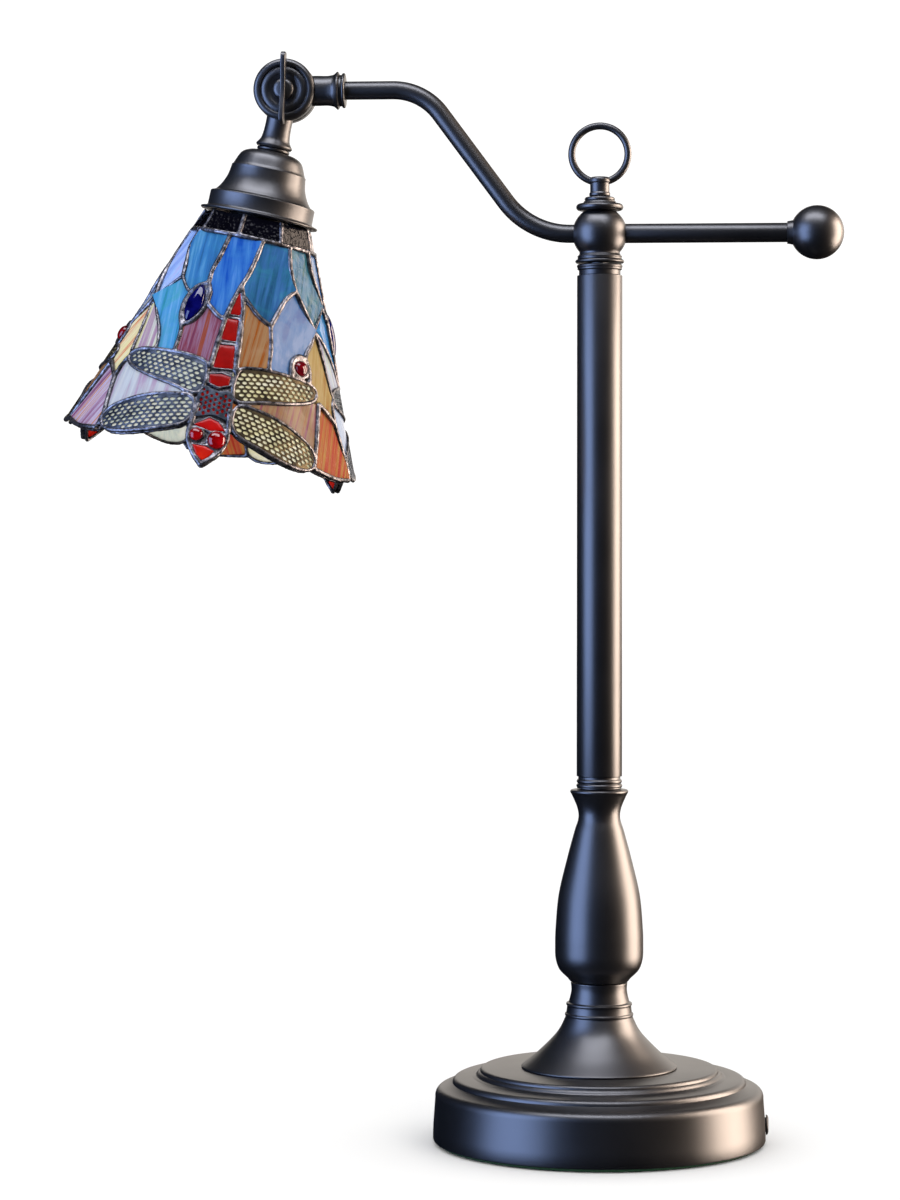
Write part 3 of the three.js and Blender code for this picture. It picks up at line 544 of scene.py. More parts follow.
pivot = Vector(next(j for j in frame["joints"] if j["name"] == "head_tilt")["pos_m"])
tube_low, tube_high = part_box("arm_tube")
tube_radius = (tube_high.y - tube_low.y) / 2
arm_slope = math.radians(53.4)
level_run = 0.0391
lower_bend = 0.045
upper_bend = 0.033
rise = pivot.z - tee_level * MM
corners = [
    Vector((tube_high.x + 0.004, 0, tee_level * MM)),
    Vector((-level_run, 0, tee_level * MM)),
    Vector((-level_run - rise / math.tan(arm_slope), 0, pivot.z)),
    Vector((tube_low.x, 0, pivot.z)),
]
arm_line = [corners[0]]
for bend, before, corner, after in zip((lower_bend, upper_bend), corners, corners[1:], corners[2:]):
    back, on = (before - corner).normalized(), (after - corner).normalized()
    half = back.angle(on) / 2
    start = corner + back * (bend / math.tan(half))
    middle = corner + (back + on).normalized() * (bend / math.sin(half))
    spoke = start - middle
    axis = spoke.cross(-back).normalized()
    turn = math.pi - 2 * half
    arm_line += [middle + Matrix.Rotation(turn * i / 24, 3, axis) @ spoke for i in range(25)]
arm_line.append(corners[3])
arm_tube = bar_along("arm_tube_bent", arm_line, tube_radius)
bpy.ops.object.shade_smooth_by_angle(angle=math.radians(40))
settle(arm_tube, "arm", "bronze_coat", satin_bronze, "arm_tube")


# ---- Knuckle: two half discs, each with its neck, on a clamping screw with a wing key ----
# Each half is a machined disc with a bright chamfered rim and a dished face. The rear half's
# neck ends in the collar that holds the arm, the front half's neck carries the shade.
disc_low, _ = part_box("head_knuckle")
disc_radius = 17.2
disc_face = -disc_low.y / MM
screw_bore = 3.3


def knuckle_disc(name):
    """The half disc about +Z, from its inner face at the joint out to its dished face."""
    return turned(name, [
        (screw_bore, 0.15), (disc_radius, 0.15), (disc_radius, disc_face - 1.7),
        (disc_radius - 0.2, disc_face - 1.4), (disc_radius - 1.5, disc_face - 0.1),
        (disc_radius - 1.9, disc_face), (disc_radius - 3.2, disc_face),
        (disc_radius - 3.8, disc_face - 0.5), (disc_radius - 4.0, disc_face - 1.5),
        *arc(disc_radius - 6.9, disc_face - 4.6, 4.2, 48, 110, 6),
        (disc_radius - 9.6, disc_face - 1.6), (screw_bore, disc_face - 1.6), (screw_bore, 0.15)],
        edge=0.12, sides=96)


def trimmed_neck(name, outline, side):
    """A neck along +Z, cleared of the other half's disc on the far side of the joint."""
    neck = turned(name, outline, edge=0, sides=72)
    deselect()
    bpy.ops.mesh.primitive_cylinder_add(
        vertices=96, radius=(disc_radius + 0.3) * MM, depth=0.03,
        location=(0, -side * (0.015 - 0.00015), 0), rotation=(math.pi / 2, 0, 0))
    cut_away(neck, bpy.context.object)
    return neck


def join_pieces(name, *parts):
    deselect()
    for part in parts:
        part.select_set(True)
    bpy.context.view_layer.objects.active = parts[0]
    bpy.ops.object.join()
    bpy.context.object.name = name
    bpy.ops.object.shade_smooth_by_angle(angle=math.radians(38))
    return bpy.context.object


_, collar_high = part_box("arm_knuckle")
collar_reach = (collar_high.x - pivot.x) / MM
arm_disc = knuckle_disc("arm_disc")
arm_disc.data.transform(Matrix.Rotation(-math.pi / 2, 4, "X"))
arm_neck = trimmed_neck("arm_neck", [
    (2.0, disc_radius - 3.4), (8.4, disc_radius - 3.4), (8.4, disc_radius + 1.5),
    (8.3, collar_reach - 12),
    *flowing([(8.3, collar_reach - 10), (8.9, collar_reach - 6.8), (10.6, collar_reach - 4.7)], 5),
    (10.4, collar_reach - 4.0), (8.8, collar_reach - 3.2), (8.7, collar_reach - 2.3),
    *arc(8.9, collar_reach - 1.0, 0.9, -80, 80, 6), (tube_radius / MM + 0.1, collar_reach),
    (2.0, collar_reach)], 1)
arm_neck.data.transform(Matrix.Rotation(math.pi / 2, 4, "Y"))
arm_knuckle = join_pieces("arm_knuckle_machined", arm_disc, arm_neck)
arm_knuckle.data.transform(Matrix.Translation(pivot))
settle(arm_knuckle, "arm", "bronze_coat", satin_bronze, "arm_knuckle")

ring_low, ring_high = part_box("neck_ring")
hang = ((ring_low + ring_high) / 2 - pivot).normalized()
head_tilt = math.atan2(-hang.x, -hang.z)
head_place = Matrix.Translation(pivot) @ Matrix.Rotation(head_tilt, 4, "Y")
head_inverse = head_place.inverted()


def hung(node):
    """A head node's widest radius and its near and far ends below the pivot, in mm."""
    points = [head_inverse @ v.co for v in frame["nodes"][node].data.vertices]
    radius = max(math.hypot(p.x, p.y) for p in points) / MM
    return radius, -max(p.z for p in points) / MM, -min(p.z for p in points) / MM


neck_far = hung("head_knuckle")[2]
head_disc = knuckle_disc("head_disc")
head_disc.data.transform(Matrix.Rotation(math.pi / 2, 4, "X"))
head_neck = trimmed_neck("head_neck", [
    (2.0, disc_radius - 3.4), (7.5, disc_radius - 3.4), (7.4, disc_radius + 1),
    *flowing([(7.4, disc_radius + 3), (7.6, neck_far - 8.5), (8.3, neck_far - 4.4),
              (10.2, neck_far - 1.5)], 5),
    (10.3, neck_far - 0.9), (9.6, neck_far), (2.0, neck_far)], -1)
head_neck.data.transform(Matrix.Rotation(math.pi, 4, "X") @ Matrix.Rotation(math.pi, 4, "Z"))
head_knuckle = join_pieces("head_knuckle_machined", head_disc, head_neck)
head_knuckle.data.transform(head_place)
settle(head_knuckle, "head", "bronze_coat", satin_bronze, "head_knuckle")

# The wing key: a hub with two thin rounded wings, cast in one piece with its screw.
key_low, key_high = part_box("wing_key")
key_half = (key_high.z - key_low.z) / 2 / MM
key_thickness = 2.7
key_edge = 0.5
wing_tip = 3.2  # the radius of each wing's outer corner
hub_radius = 5.9
hub_front = -disc_face + 0.5
key_outline = [
    *[(key_half * s, 0.3) for s in (-1, -0.6, 0.6, 1)],
    *[(key_half - wing_tip + wing_tip * math.cos(a), 4.8 + wing_tip * math.sin(a))
      for a in [math.radians(10 + 80 * i / 6) for i in range(7)]],
    (key_half * 0.55, 7.4), (key_half * 0.3, 5.6), (0, 4.8), (-key_half * 0.3, 5.6),
    (-key_half * 0.55, 7.4),
    *[(-key_half + wing_tip - wing_tip * math.cos(a), 4.8 + wing_tip * math.sin(a))
      for a in [math.radians(90 - 80 * i / 6) for i in range(7)]],
]
blade_line = bpy.data.curves.new("key_blade", "CURVE")
blade_line.dimensions = "2D"
blade_line.fill_mode = "BOTH"
blade_line.extrude = key_thickness / 2 - key_edge
blade_line.bevel_depth = key_edge
blade_line.bevel_resolution = 3
blade_line.offset = -key_edge
strung(blade_line, [(x, y, 0) for x, y in key_outline], closed=True)
blade = as_mesh("key_blade", blade_line)
stand_up = Matrix(((0, 0, 1, 0), (0, -1, 0, 0), (1, 0, 0, 0), (0, 0, 0, 1)))
blade.data.transform(
    Matrix.Translation((0, (hub_front - 1.4) * MM, 0)) @ stand_up @ Matrix.Scale(MM, 4))
key_hub = turned("key_hub", [
    (0.05, hub_front), (3.0, hub_front), (3.0, hub_front + 0.4), (hub_radius, hub_front + 0.4),
    (hub_radius, hub_front + 1.6), (hub_radius - 0.8, hub_front + 2.7),
    (hub_radius - 2.2, hub_front + 3.2), (0.05, hub_front + 3.2)], edge=0.1, sides=64)
key_hub.data.transform(Matrix.Translation((0, (2 * hub_front + 0.4) * MM, 0))
                       @ Matrix.Rotation(math.pi / 2, 4, "X"))
key_screw = turned("key_screw", [(0.05, hub_front), (3.0, hub_front), (3.0, key_high.y / MM - 0.6),
                                 (2.4, key_high.y / MM), (0.05, key_high.y / MM)], edge=0, sides=40)
key_screw.data.transform(Matrix.Rotation(-math.pi / 2, 4, "X"))
wing_key = join_pieces("wing_key_cast", blade, key_hub, key_screw)
wing_key.data.transform(Matrix.Translation(pivot) @ Matrix.Rotation(math.radians(2), 4, "Y"))
settle(wing_key, "key", "bronze_coat", satin_bronze, "wing_key")
dress(satin_bronze, "bronze_coat", "knuckle_nut")


# ---- Shade holder: the neck ring and the bell cup over the socket ----
# The cup is spun steel with a cove, a straight band and a turned-out lip that covers the shade's
# top edge. The threaded nipple holds the ring, the cup and the socket together.
def placed_on_head(piece):
    piece.data.transform(head_place)
    return piece


radius, near, far = hung("neck_ring")
neck_ring = placed_on_head(turned("neck_ring_turned", [
    (5.4, -far), *arc(radius - 1.0, -(near + far) / 2, 1.0, -80, 80, 8), (5.4, -near), (5.4, -far)],
    edge=0, sides=72))
settle(neck_ring, "head", "bronze_coat", satin_bronze, "neck_ring")

lip_radius, near, far = hung("shade_holder")
holder_radius = 29.9
wall = 1.4
holder = placed_on_head(turned("shade_holder_spun", [
    (holder_radius - wall, -far), (lip_radius - 0.4, -far),
    *arc(lip_radius - 0.6, -far + 0.7, 0.6, -80, 85, 5), (holder_radius + 1.2, -far + 1.5),
    (holder_radius + 0.4, -far + 2.0), (holder_radius, -far + 2.8),
    (holder_radius - 0.1, -far + 9.6), *arc(holder_radius - 0.9, -far + 10.2, 0.8, 0, 85, 4),
    *flowing([(holder_radius - 2.6, -far + 11.6), (holder_radius - 5.2, -far + 15.2),
              (holder_radius - 7.6, -far + 20.6), (holder_radius - 8.7, -far + 26.4)], 6),
    (holder_radius - 8.7, -far + 27.4), (holder_radius - 9.4, -far + 28.0),
    *flowing([(holder_radius - 9.9, -far + 29.2), (holder_radius - 12.6, -near - 3.2),
              (holder_radius - 16.6, -near - 0.7), (holder_radius - 20.6, -near)], 6),
    (5.6, -near), (5.6, -near - wall), (holder_radius - 17, -near - wall),
    (holder_radius - 12.3, -near - 8), (holder_radius - 9 - wall, -far + 24),
    (holder_radius - 3 - wall, -far + 12), (holder_radius - wall, -far + 8),
    (holder_radius - wall, -far)], edge=0.12))
settle(holder, "head", "bronze_coat", satin_bronze, "shade_holder")


# ---- Socket and bulb ----
# A socket and lock ring moulded in phenolic, and an unlit opal globe bulb with a rolled aluminium
# cap. The shade's fitter is a brass plate, and the lock ring clamps it to the socket.
opal_glass = mottled("opal_bulb_glass", 20, 2.0, "#e6e2d8", "#f2efe8", Roughness=0.12, IOR=1.5)
cap_metal = mottled(
    "rolled_aluminium", 2, 2.0, "#b9bbbd", "#d2d3d5", gloss=(0.25, 0.4), Metallic=1.0)
aged_brass = mottled("aged_brass", 8, 4.0, "#6f5730", "#a98a4e", gloss=(0.3, 0.55), Metallic=1.0)

radius, near, far = hung("bulb_globe")
neck_radius = 12.0
globe_level = -far + radius
globe_skin = [
    *arc(0, globe_level, radius, -89.9, 38, 22),
    *flowing([(radius * 0.70, globe_level + radius * 0.70), (14.2, -near - 12),
              (neck_radius, -near - 1)], 5)[1:],
    (neck_radius, -near),
]
globe_inside = [(max(r - 1.1, 0.03), z + (1.1 if r < 3 else 0)) for r, z in reversed(globe_skin)]
globe = placed_on_head(turned("bulb_globe_blown", [*globe_skin, *globe_inside], edge=0, sides=96))
settle(globe, "head", "bulb_glass", opal_glass, "bulb_globe")

radius, near, far = hung("lamp_socket")
ribs = [(radius - (0.5 if i % 2 else 0.0), -far + 6 + 1.2 * i) for i in range(12)]
socket = placed_on_head(turned("lamp_socket_moulded", [
    (13.6, -far), (radius - 0.6, -far), (radius, -far + 0.6), (radius, -far + 4), *ribs,
    (radius, -near - 8), (radius - 0.8, -near - 3), (radius - 4, -near), (5.6, -near),
    (5.6, -near - 3.3), (13.6, -near - 3.3), (13.6, -far)], edge=0.1, sides=80))
settle(socket, "head", "black_plastic", black_phenolic, "lamp_socket")
dress(black_phenolic, "black_plastic", "shade_lock_ring")
dress(aged_brass, "brass_fitter", "shade_fitter")
dress(cap_metal, "bulb_cap_metal", "bulb_cap")


# ---- Shade: its paper pattern, and the cone it is rolled on ----
# A leaded shade is drawn flat, cut in glass and tacked together over a cone form. Places on the
# pattern are degrees round from a dragonfly's middle and millimetres above the lower edge.
shade_far = max(
    hung(name)[2] for name in frame["nodes"] if name.startswith(("gallery_band", "glass_field")))
shade_turn = 6
sectors = {"a": 0, "b": 120, "c": 240}
band_height = hung("gallery_band")[2] - hung("gallery_band")[1]
glass_thickness = 3.0
shade_mouth = 83.2
taper = 53.4 / 132.4
cone_angle = math.atan(taper)
apex = shade_mouth / taper


def drawn(angle, up):
    """A place on the cone as a place on the flat pattern, in mm, with the apex at its origin."""
    slant = (apex - up) / math.cos(cone_angle)
    turn = math.radians(angle) * math.sin(cone_angle)
    return Vector((slant * math.sin(turn), -slant * math.cos(turn)))


def rolled(point, proud, middle):
    """A place on the pattern, rolled on the cone of one dragonfly and standing proud of it."""
    turn = math.atan2(point.x, -point.y) / math.sin(cone_angle)
    angle = turn + math.radians(middle + shade_turn)
    up = apex - point.length * math.cos(cone_angle)
    radius = shade_mouth - taper * up + proud * math.cos(cone_angle)
    level = up - shade_far + proud * math.sin(cone_angle)
    return head_place @ (Vector((radius * math.sin(angle), -radius * math.cos(angle), level)) * MM)


def tangent_plane(point, proud, middle):
    """The matrix that lays the pattern flat against the cone at one point, in metres."""
    turn = math.atan2(point.x, -point.y)
    across = Vector((math.cos(turn), math.sin(turn)))
    up_slope = Vector((-math.sin(turn), math.cos(turn)))
    here = rolled(point, proud, middle)
    x_side = (rolled(point + across * 0.01, proud, middle) - here).normalized()
    y_side = (rolled(point + up_slope * 0.01, proud, middle) - here).normalized()
    out = x_side.cross(y_side)
    pattern_x = x_side * across.x + y_side * up_slope.x
    pattern_y = x_side * across.y + y_side * up_slope.y
    lay = Matrix((pattern_x, pattern_y, out)).transposed().to_4x4()
    from_middle = Matrix.Translation((-point.x, -point.y, 0))
    return Matrix.Translation(here) @ lay @ Matrix.Scale(MM, 4) @ from_middle


def plate(name, outlines, thickness, edge):
    """A flat plate on the pattern, in mm, with rounded edges; later outlines are holes in it."""
    line = bpy.data.curves.new(name, "CURVE")
    line.dimensions = "2D"
    line.fill_mode = "BOTH"
    line.extrude = thickness / 2 - edge
    line.bevel_depth = edge
    line.bevel_resolution = 2 if edge else 0
    line.offset = -edge
    for outline in outlines:
        strung(line, [(point[0], point[1], 0) for point in outline], closed=True)
    made = as_mesh(name, line)
    bpy.ops.object.mode_set(mode="EDIT")
    bpy.ops.mesh.select_all(action="SELECT")
    bpy.ops.mesh.remove_doubles(threshold=0.002)
    bpy.ops.mesh.normals_make_consistent(inside=False)
    bpy.ops.object.mode_set(mode="OBJECT")
    bpy.ops.object.shade_smooth_by_angle(angle=math.radians(35))
    return made


def grain(piece, turn, shift):
    """The streaks' direction on the glass: UV runs across and along them, in metres."""
    layer = piece.data.uv_layers.get("grain") or piece.data.uv_layers.new(name="grain")
    way = Matrix.Rotation(math.radians(turn), 2)
    for loop in piece.data.loops:
        point = way @ piece.data.vertices[loop.vertex_index].co.xy
        layer.data[loop.index].uv = (point.x * MM + shift, point.y * MM + shift * 0.7)


# ---- Sheet glass: streaky opalescent sheets, one for each colour ----
# Each sheet is poured from two or three molten colours, so soft streaks about 4 mm wide run along
# it and paler wisps cross them. Its rolled face has a shallow ripple and a wet gloss.
def in_opal(colour, depth):
    """A colour at the depth of tone that the opal body gives it."""
    return (*(channel * depth for channel in linear(colour)[:3]), 1.0)


def streaky_glass(name, tones, wisp, width, length, wisps, depth):
    """One sheet: its streaks' tones, width and length in mm, and how far the wisps cover them."""
    material, tree, shader = new_material(name, Roughness=0.2, Specular_IOR_Level=0.1)
    place = add_node(tree, "ShaderNodeUVMap", uv_map="grain").outputs["UV"]
    pull = add_node(tree, "ShaderNodeVectorMath", {0: place}, operation="MULTIPLY")
    pull.inputs[1].default_value = (1000 / width, 1000 / length, 1)
    streak = add_node(tree, "ShaderNodeTexNoise", {
        "Vector": pull.outputs["Vector"], "Scale": 1.0, "Detail": 4.0, "Roughness": 0.62,
        "Distortion": 0.35})
    ramp = add_node(tree, "ShaderNodeValToRGB", {"Fac": streak.outputs["Fac"]})
    first, last = 0.37, 0.63
    ramp.color_ramp.elements[0].position = first
    ramp.color_ramp.elements[1].position = last
    ramp.color_ramp.elements[0].color = in_opal(tones[0], depth)
    ramp.color_ramp.elements[1].color = in_opal(tones[-1], depth)
    for i, tone in enumerate(tones[1:-1], 1):
        stop = first + (last - first) * i / (len(tones) - 1)
        ramp.color_ramp.elements.new(stop).color = in_opal(tone, depth)
    cloud = add_node(tree, "ShaderNodeTexNoise", {
        "Vector": place, "Scale": 1 / 0.014, "Detail": 4.0, "Roughness": 0.6, "Distortion": 0.8})
    amount = add_node(tree, "ShaderNodeMapRange", {
        "Value": cloud.outputs["Fac"], "From Min": 0.45, "From Max": 0.75, "To Max": wisps})
    blend = add_node(tree, "ShaderNodeMix", data_type="RGBA")
    tree.links.new(amount.outputs["Result"], blend.inputs[0])
    tree.links.new(ramp.outputs["Color"], blend.inputs[6])
    blend.inputs[7].default_value = in_opal(wisp, depth)
    tree.links.new(blend.outputs[2], shader.inputs["Base Color"])
    ripple = add_node(tree, "ShaderNodeTexNoise", {
        "Vector": place, "Scale": 1 / 0.005, "Detail": 1.5, "Roughness": 0.4})
    bump = add_node(tree, "ShaderNodeBump", {
        "Height": ripple.outputs["Fac"], "Strength": 0.35, "Distance": 0.0006})
    tree.links.new(bump.outputs["Normal"], shader.inputs["Normal"])
    return material


sheets = {}
for sheet, name, tones, wisp, width, length, wisps, depth in (
        ("sky", "sky_blue_glass",
         "#2a66a6 #3478c6 #3c86d0 #5ea2e2", "#2d86a2", 4.5, 60, 0.3, 0.82),
        ("cobalt", "cobalt_glass",
         "#0c4fbf #2a69cc #3778d4 #4f8ae0", "#3f86d0", 4.5, 60, 0.5, 0.85),
        ("teal_blue", "teal_blue_glass",
         "#22527e #2c6494 #3768a8 #3f7ab0", "#34909e", 4.5, 60, 0.5, 0.84),
        ("azure", "azure_glass",
         "#2f86b8 #4a98e6 #56a4e6 #70b0f8", "#38a8ae", 4.5, 60, 0.5, 0.85),
        ("hazy", "hazy_blue_glass",
         "#4670b4 #5486c4 #6690c8 #8ca8d6", "#8c9ec4", 8, 30, 0.5, 0.62),
        ("mauve", "mauve_streaked_glass",
         "#743364 #964864 #a886b0 #a85444", "#a07898", 2.8, 80, 0.3, 0.62),
        ("orange", "orange_streaked_glass",
         "#a4581e #a87a54 #b08860 #d07a1c", "#b89a7a", 2.8, 80, 0.3, 0.72),
        ("pearl", "pearl_mauve_glass",
         "#a78cb4 #b8acbe #d0dce0 #d6d2a8", "#b096ba", 3.4, 80, 0.3, 0.90),
        ("straw", "straw_glass",
         "#c8703e #d8ccb4 #d8d49e #dfd9c6", "#d2b8c0", 2.8, 90, 0.25, 1.08),
        ("amber", "amber_glass",
         "#c07c3c #d0a860 #dcbc7c #dcac68", "#d8b08a", 3.4, 80, 0.3, 0.66),
        ("lavender", "white_lavender_glass",
         "#b09cc6 #b8c2da #c4d2ea #d0d8e4", "#c0bcd2", 4, 60, 0.4, 0.86),
        ("tan", "pink_tan_glass",
         "#a85c74 #b88464 #bc9c74 #c0845a", "#a07a90", 2.8, 80, 0.3, 0.60),
        ("plum", "plum_striped_glass",
         "#7e4a72 #a58ab6 #bcbce4 #b8763e", "#b8a6c8", 2.6, 90, 0.25, 0.98),
        ("coral", "coral_striped_glass",
         "#d0402c #dc6244 #d88240 #dc9c54", "#cc6060", 2.8, 90, 0.25, 0.66),
        ("green", "green_teal_glass",
         "#34706a #46809c #5c94ba #68a0c6", "#4c966c", 4, 50, 0.5, 0.60),
        ("periwinkle", "periwinkle_glass",
         "#7a9ae8 #8cb0f8 #9cc0fa #aab4f4", "#a09cee", 5, 60, 0.4, 1.08)):
    sheets[sheet] = streaky_glass(name, tones.split(), wisp, width, length, wisps, depth)


# ---- Leading: the lines between the panes ----
# The lines as they are drawn on the pattern for one dragonfly, each from one meeting point to the
# next. Those of the right side belong to the next dragonfly's left side, a third of a turn on.
leading = {
    "neck_left": [(-57.5, 119), (-57, 109), (-50.5, 99.5), (-46, 91.3)],
    "sky_foot": [(-46, 91.3), (-38, 85.5), (-32.6, 83)],
    "neck_middle": [(-20.5, 119), (-22, 106), (-23.5, 97.5), (-22.5, 90)],
    "neck_tail": [(10, 119), (4.5, 102), (1.5, 95), (0, 91.5)],
    "neck_right": [(37, 119), (37, 109), (39, 101), (41, 95.8)],
    "jewel_top_left": [(-22.5, 90), (-28.5, 87.5), (-32.6, 83)],
    "jewel_left": [(-32.6, 83), (-33.6, 77), (-32.3, 70), (-28.5, 63.8)],
    "jewel_top_right": [(-22.5, 90), (-19.2, 85), (-18.6, 79)],
    "jewel_right": [(-18.6, 79), (-20, 73), (-23.5, 67.5), (-28.5, 63.8)],
    "mauve_top": [(-18.6, 79), (-12.5, 75), (-7.5, 72.3), (-4.9, 73)],
    "tail_left_high": [(0, 91.5), (-2.6, 84), (-4.3, 76), (-4.9, 73)],
    "tail_left_low": [(-4.9, 73), (-5.6, 60), (-6, 47), (-6.6, 44.5)],
    "tail_right_high": [(0, 91.5), (2.2, 87)],
    "tail_right_low": [(2.2, 87), (4.2, 78), (5, 70), (5.8, 58), (6.3, 47), (6.8, 44)],
    "orange_top": [(2.2, 87), (8.5, 82), (14, 77.5), (22.3, 73.3)],
    "orange_right": [(22.3, 73.3), (23.2, 62), (22.8, 49.7)],
    "hazy_left": [(41, 95.8), (32, 89.3), (26.5, 81), (22.3, 73.3)],
    "hazy_right": [(41, 95.8), (49, 86), (57.3, 76.6)],
    "amber_left": [(57.3, 76.6), (52, 69), (47.5, 63.5), (46, 60)],
    "red_jewel_left": [(46, 60), (41, 60.5), (37, 57.5), (35.8, 53), (36, 49)],
    "red_jewel_right": [(46, 60), (48, 55), (47.5, 47)],
    "azure_right": [(-28.5, 63.8), (-27, 58), (-26.5, 49.3)],
    "azure_left": [(-62.7, 76.6), (-54, 71), (-43, 61), (-38.5, 52.5), (-38, 48.3)],
    "pearl_left": [(-62.7, 76.6), (-57.5, 62), (-54.5, 50), (-53, 44)],
    "periwinkle_foot": [(-62.7, 76.6), (-54, 84.5), (-46, 91.3)],
    "tip_left": [(-52.5, 41), (-54.2, 36), (-54.2, 28.8)],
    "amber_foot": [(53.2, 37.5), (60, 33), (65.8, 28.8)],
    "lavender_left": [(-54.2, 28.8), (-50.5, 17), (-47.7, 8), (-47.4, -0.5)],
    "tan_right": [(53.2, 37.5), (50.8, 25), (49, 15), (47, 5), (46.6, 1.7)],
    "lower_edge": [(46.6, 1.7), (60, -1.2), (72.6, -0.5)],
}
band_foot = 119.5
wing_edges = {
    "sky_neck": [(-20.5, 119), (-39, 119), (-57.5, 119)],
    "cobalt_neck": [(10, 119), (-5, 119), (-20.5, 119)],
    "teal_neck": [(37, 119), (23, 119), (10, 119)],
    "side_neck": [(62.5, 119), (50, 119), (37, 119)],
    "under_azure": [(-26.5, 49.3), (-38, 48.3)],
    "under_pearl": [(-38, 48.3), (-44, 47.6), (-50.6, 45.2), (-53, 44)],
    "under_mauve": [(-6.6, 44.5), (-12, 47.6), (-20, 48.9), (-26.5, 49.3)],
    "under_orange": [(6.8, 44), (11, 47), (16, 48.7), (22.8, 49.7)],
    "under_hazy": [(22.8, 49.7), (36, 49)],
    "by_amber": [(47.5, 47), (51, 45), (52.4, 41), (53.2, 37.5)],
    "next_tip": [(-53, 44), (-52.5, 41)],
    "over_lavender": [(-52.5, 41), (-48, 37.3), (-38, 34.3), (-22, 31.3), (-10.5, 28)],
    "under_lavender": [(-10.5, 28), (-22, 25.8), (-35, 20.4), (-45.6, 12), (-46.6, 4.5),
                       (-47.4, -0.5)],
    "over_tan": [(10.5, 28), (22, 31.3), (38, 34.3), (48, 37.3), (53.2, 37.5)],
    "under_tan": [(46.6, 1.7), (45.8, 12), (35, 20.4), (22, 25.8), (10.5, 28)],
}


def smooth_line(name, on=0):
    points = leading.get(name) or wing_edges[name]
    return [(angle + on, up) for angle, up in flowing(points, 4)]


def chained(*names):
    """A closed outline on the pattern from lines that meet; a name and 120 is the next third's."""
    outline = []
    for name in names:
        line = smooth_line(*name) if isinstance(name, tuple) else smooth_line(name)
        ends = [drawn(*line[0]), drawn(*line[-1])]
        if outline and (ends[1] - outline[-1]).length < (ends[0] - outline[-1]).length:
            line = line[::-1]
        points = [drawn(*place_on) for place_on in line]
        if not outline and len(names) > 1:
            after = names[1]
            following = smooth_line(*after) if isinstance(after, tuple) else smooth_line(after)
            gaps = [min((point - drawn(*end)).length for end in (following[0], following[-1]))
                    for point in (points[0], points[-1])]
            if gaps[0] < gaps[1]:
                points = points[::-1]
        outline += points if not outline else points[1:]
    if (outline[0] - outline[-1]).length < 0.5:
        outline.pop()
    return outline


def drawn_in(outline, by):
    """The outline moved inwards by a distance in mm."""
    area = sum(a.x * b.y - b.x * a.y for a, b in zip(outline, outline[1:] + outline[:1]))
    side = 1 if area > 0 else -1
    moved = []
    for before, here, after in zip(outline[-1:] + outline[:-1], outline, outline[1:] + outline[:1]):
        along = ((here - before).normalized() + (after - here).normalized())
        if along.length > 0.2:
            along.normalize()
            moved.append(here + Vector((-along.y, along.x)) * side * by)
    return moved


# ---- Panes: the coloured glass, each cut to its own outline and foiled ----
# Flat pieces of sheet glass. Their edges run under the solder, and each is laid so that its
# streaks run up the shade.
panes = [
    ("sky_pane", "sky", ["neck_left", "sky_foot", "jewel_top_left", "neck_middle", "sky_neck"]),
    ("cobalt_pane", "cobalt", ["jewel_top_right", "mauve_top", "tail_left_high", "neck_tail",
                               "cobalt_neck", "neck_middle"]),
    ("teal_pane", "teal_blue", ["tail_right_high", "orange_top", "hazy_left", "neck_right",
                                "teal_neck", "neck_tail"]),
    ("side_pane", ("green", "green", "periwinkle"),
     ["hazy_right", ("periwinkle_foot", 120), ("neck_left", 120), "side_neck", "neck_right"]),
    ("azure_pane", "azure", ["periwinkle_foot", "sky_foot", "jewel_left", "azure_right",
                             "under_azure", "azure_left"]),
    ("hazy_pane", "hazy", ["hazy_right", "amber_left", "red_jewel_left", "under_hazy",
                           "orange_right", "hazy_left"]),
    ("mauve_pane", "mauve", ["mauve_top", "tail_left_low", "under_mauve", "azure_right",
                             "jewel_right"]),
    ("orange_pane", "orange", ["orange_top", "orange_right", "under_orange", "tail_right_low"]),
    ("pearl_pane", "pearl", ["azure_left", "under_pearl", "pearl_left"]),
    ("amber_pane", ("amber", "straw", "straw"),
     ["amber_left", "red_jewel_right", "by_amber", "amber_foot", ("tip_left", 120),
      ("next_tip", 120), ("pearl_left", 120)]),
    ("lavender_pane", "lavender", ["tip_left", "lavender_left", "under_lavender", "over_lavender"]),
    ("tan_pane", "tan", ["over_tan", "tan_right", "under_tan"]),
    ("corner_pane", ("coral", "coral", "plum"),
     ["amber_foot", ("lavender_left", 120), "lower_edge", "tan_right"]),
]


def roll_up(piece, proud, middle):
    """The flat plate is cut across every few millimetres and rolled on the cone."""
    low = min(v.co.x for v in piece.data.vertices)
    high = max(v.co.x for v in piece.data.vertices)
    pick(piece)
    bpy.ops.object.mode_set(mode="EDIT")
    strip = 5
    for i in range(1, int((high - low) / strip)):
        bpy.ops.mesh.select_all(action="SELECT")
        bpy.ops.mesh.bisect(plane_co=(low + strip * i, 0, 0), plane_no=(1, 0, 0))
    bpy.ops.object.mode_set(mode="OBJECT")
    for vertex in piece.data.vertices:
        vertex.co = rolled(vertex.co.xy, proud + vertex.co.z, middle)
    return piece


def lay_flat(piece, outline, middle):
    """The flat pane is laid on the cone so that its edges are as near it as they can be."""
    centre = sum(outline, Vector((0, 0))) / len(outline)
    lay = tangent_plane(centre, 0, middle)
    face = lay.to_3x3().col[2].normalized()
    sag = sum((lay @ point.to_3d() - rolled(point, 0, middle)).dot(face) for point in outline)
    depth = -sag / len(outline) / MM - glass_thickness / 2
    piece.data.transform(lay @ Matrix.Translation((0, 0, depth)))


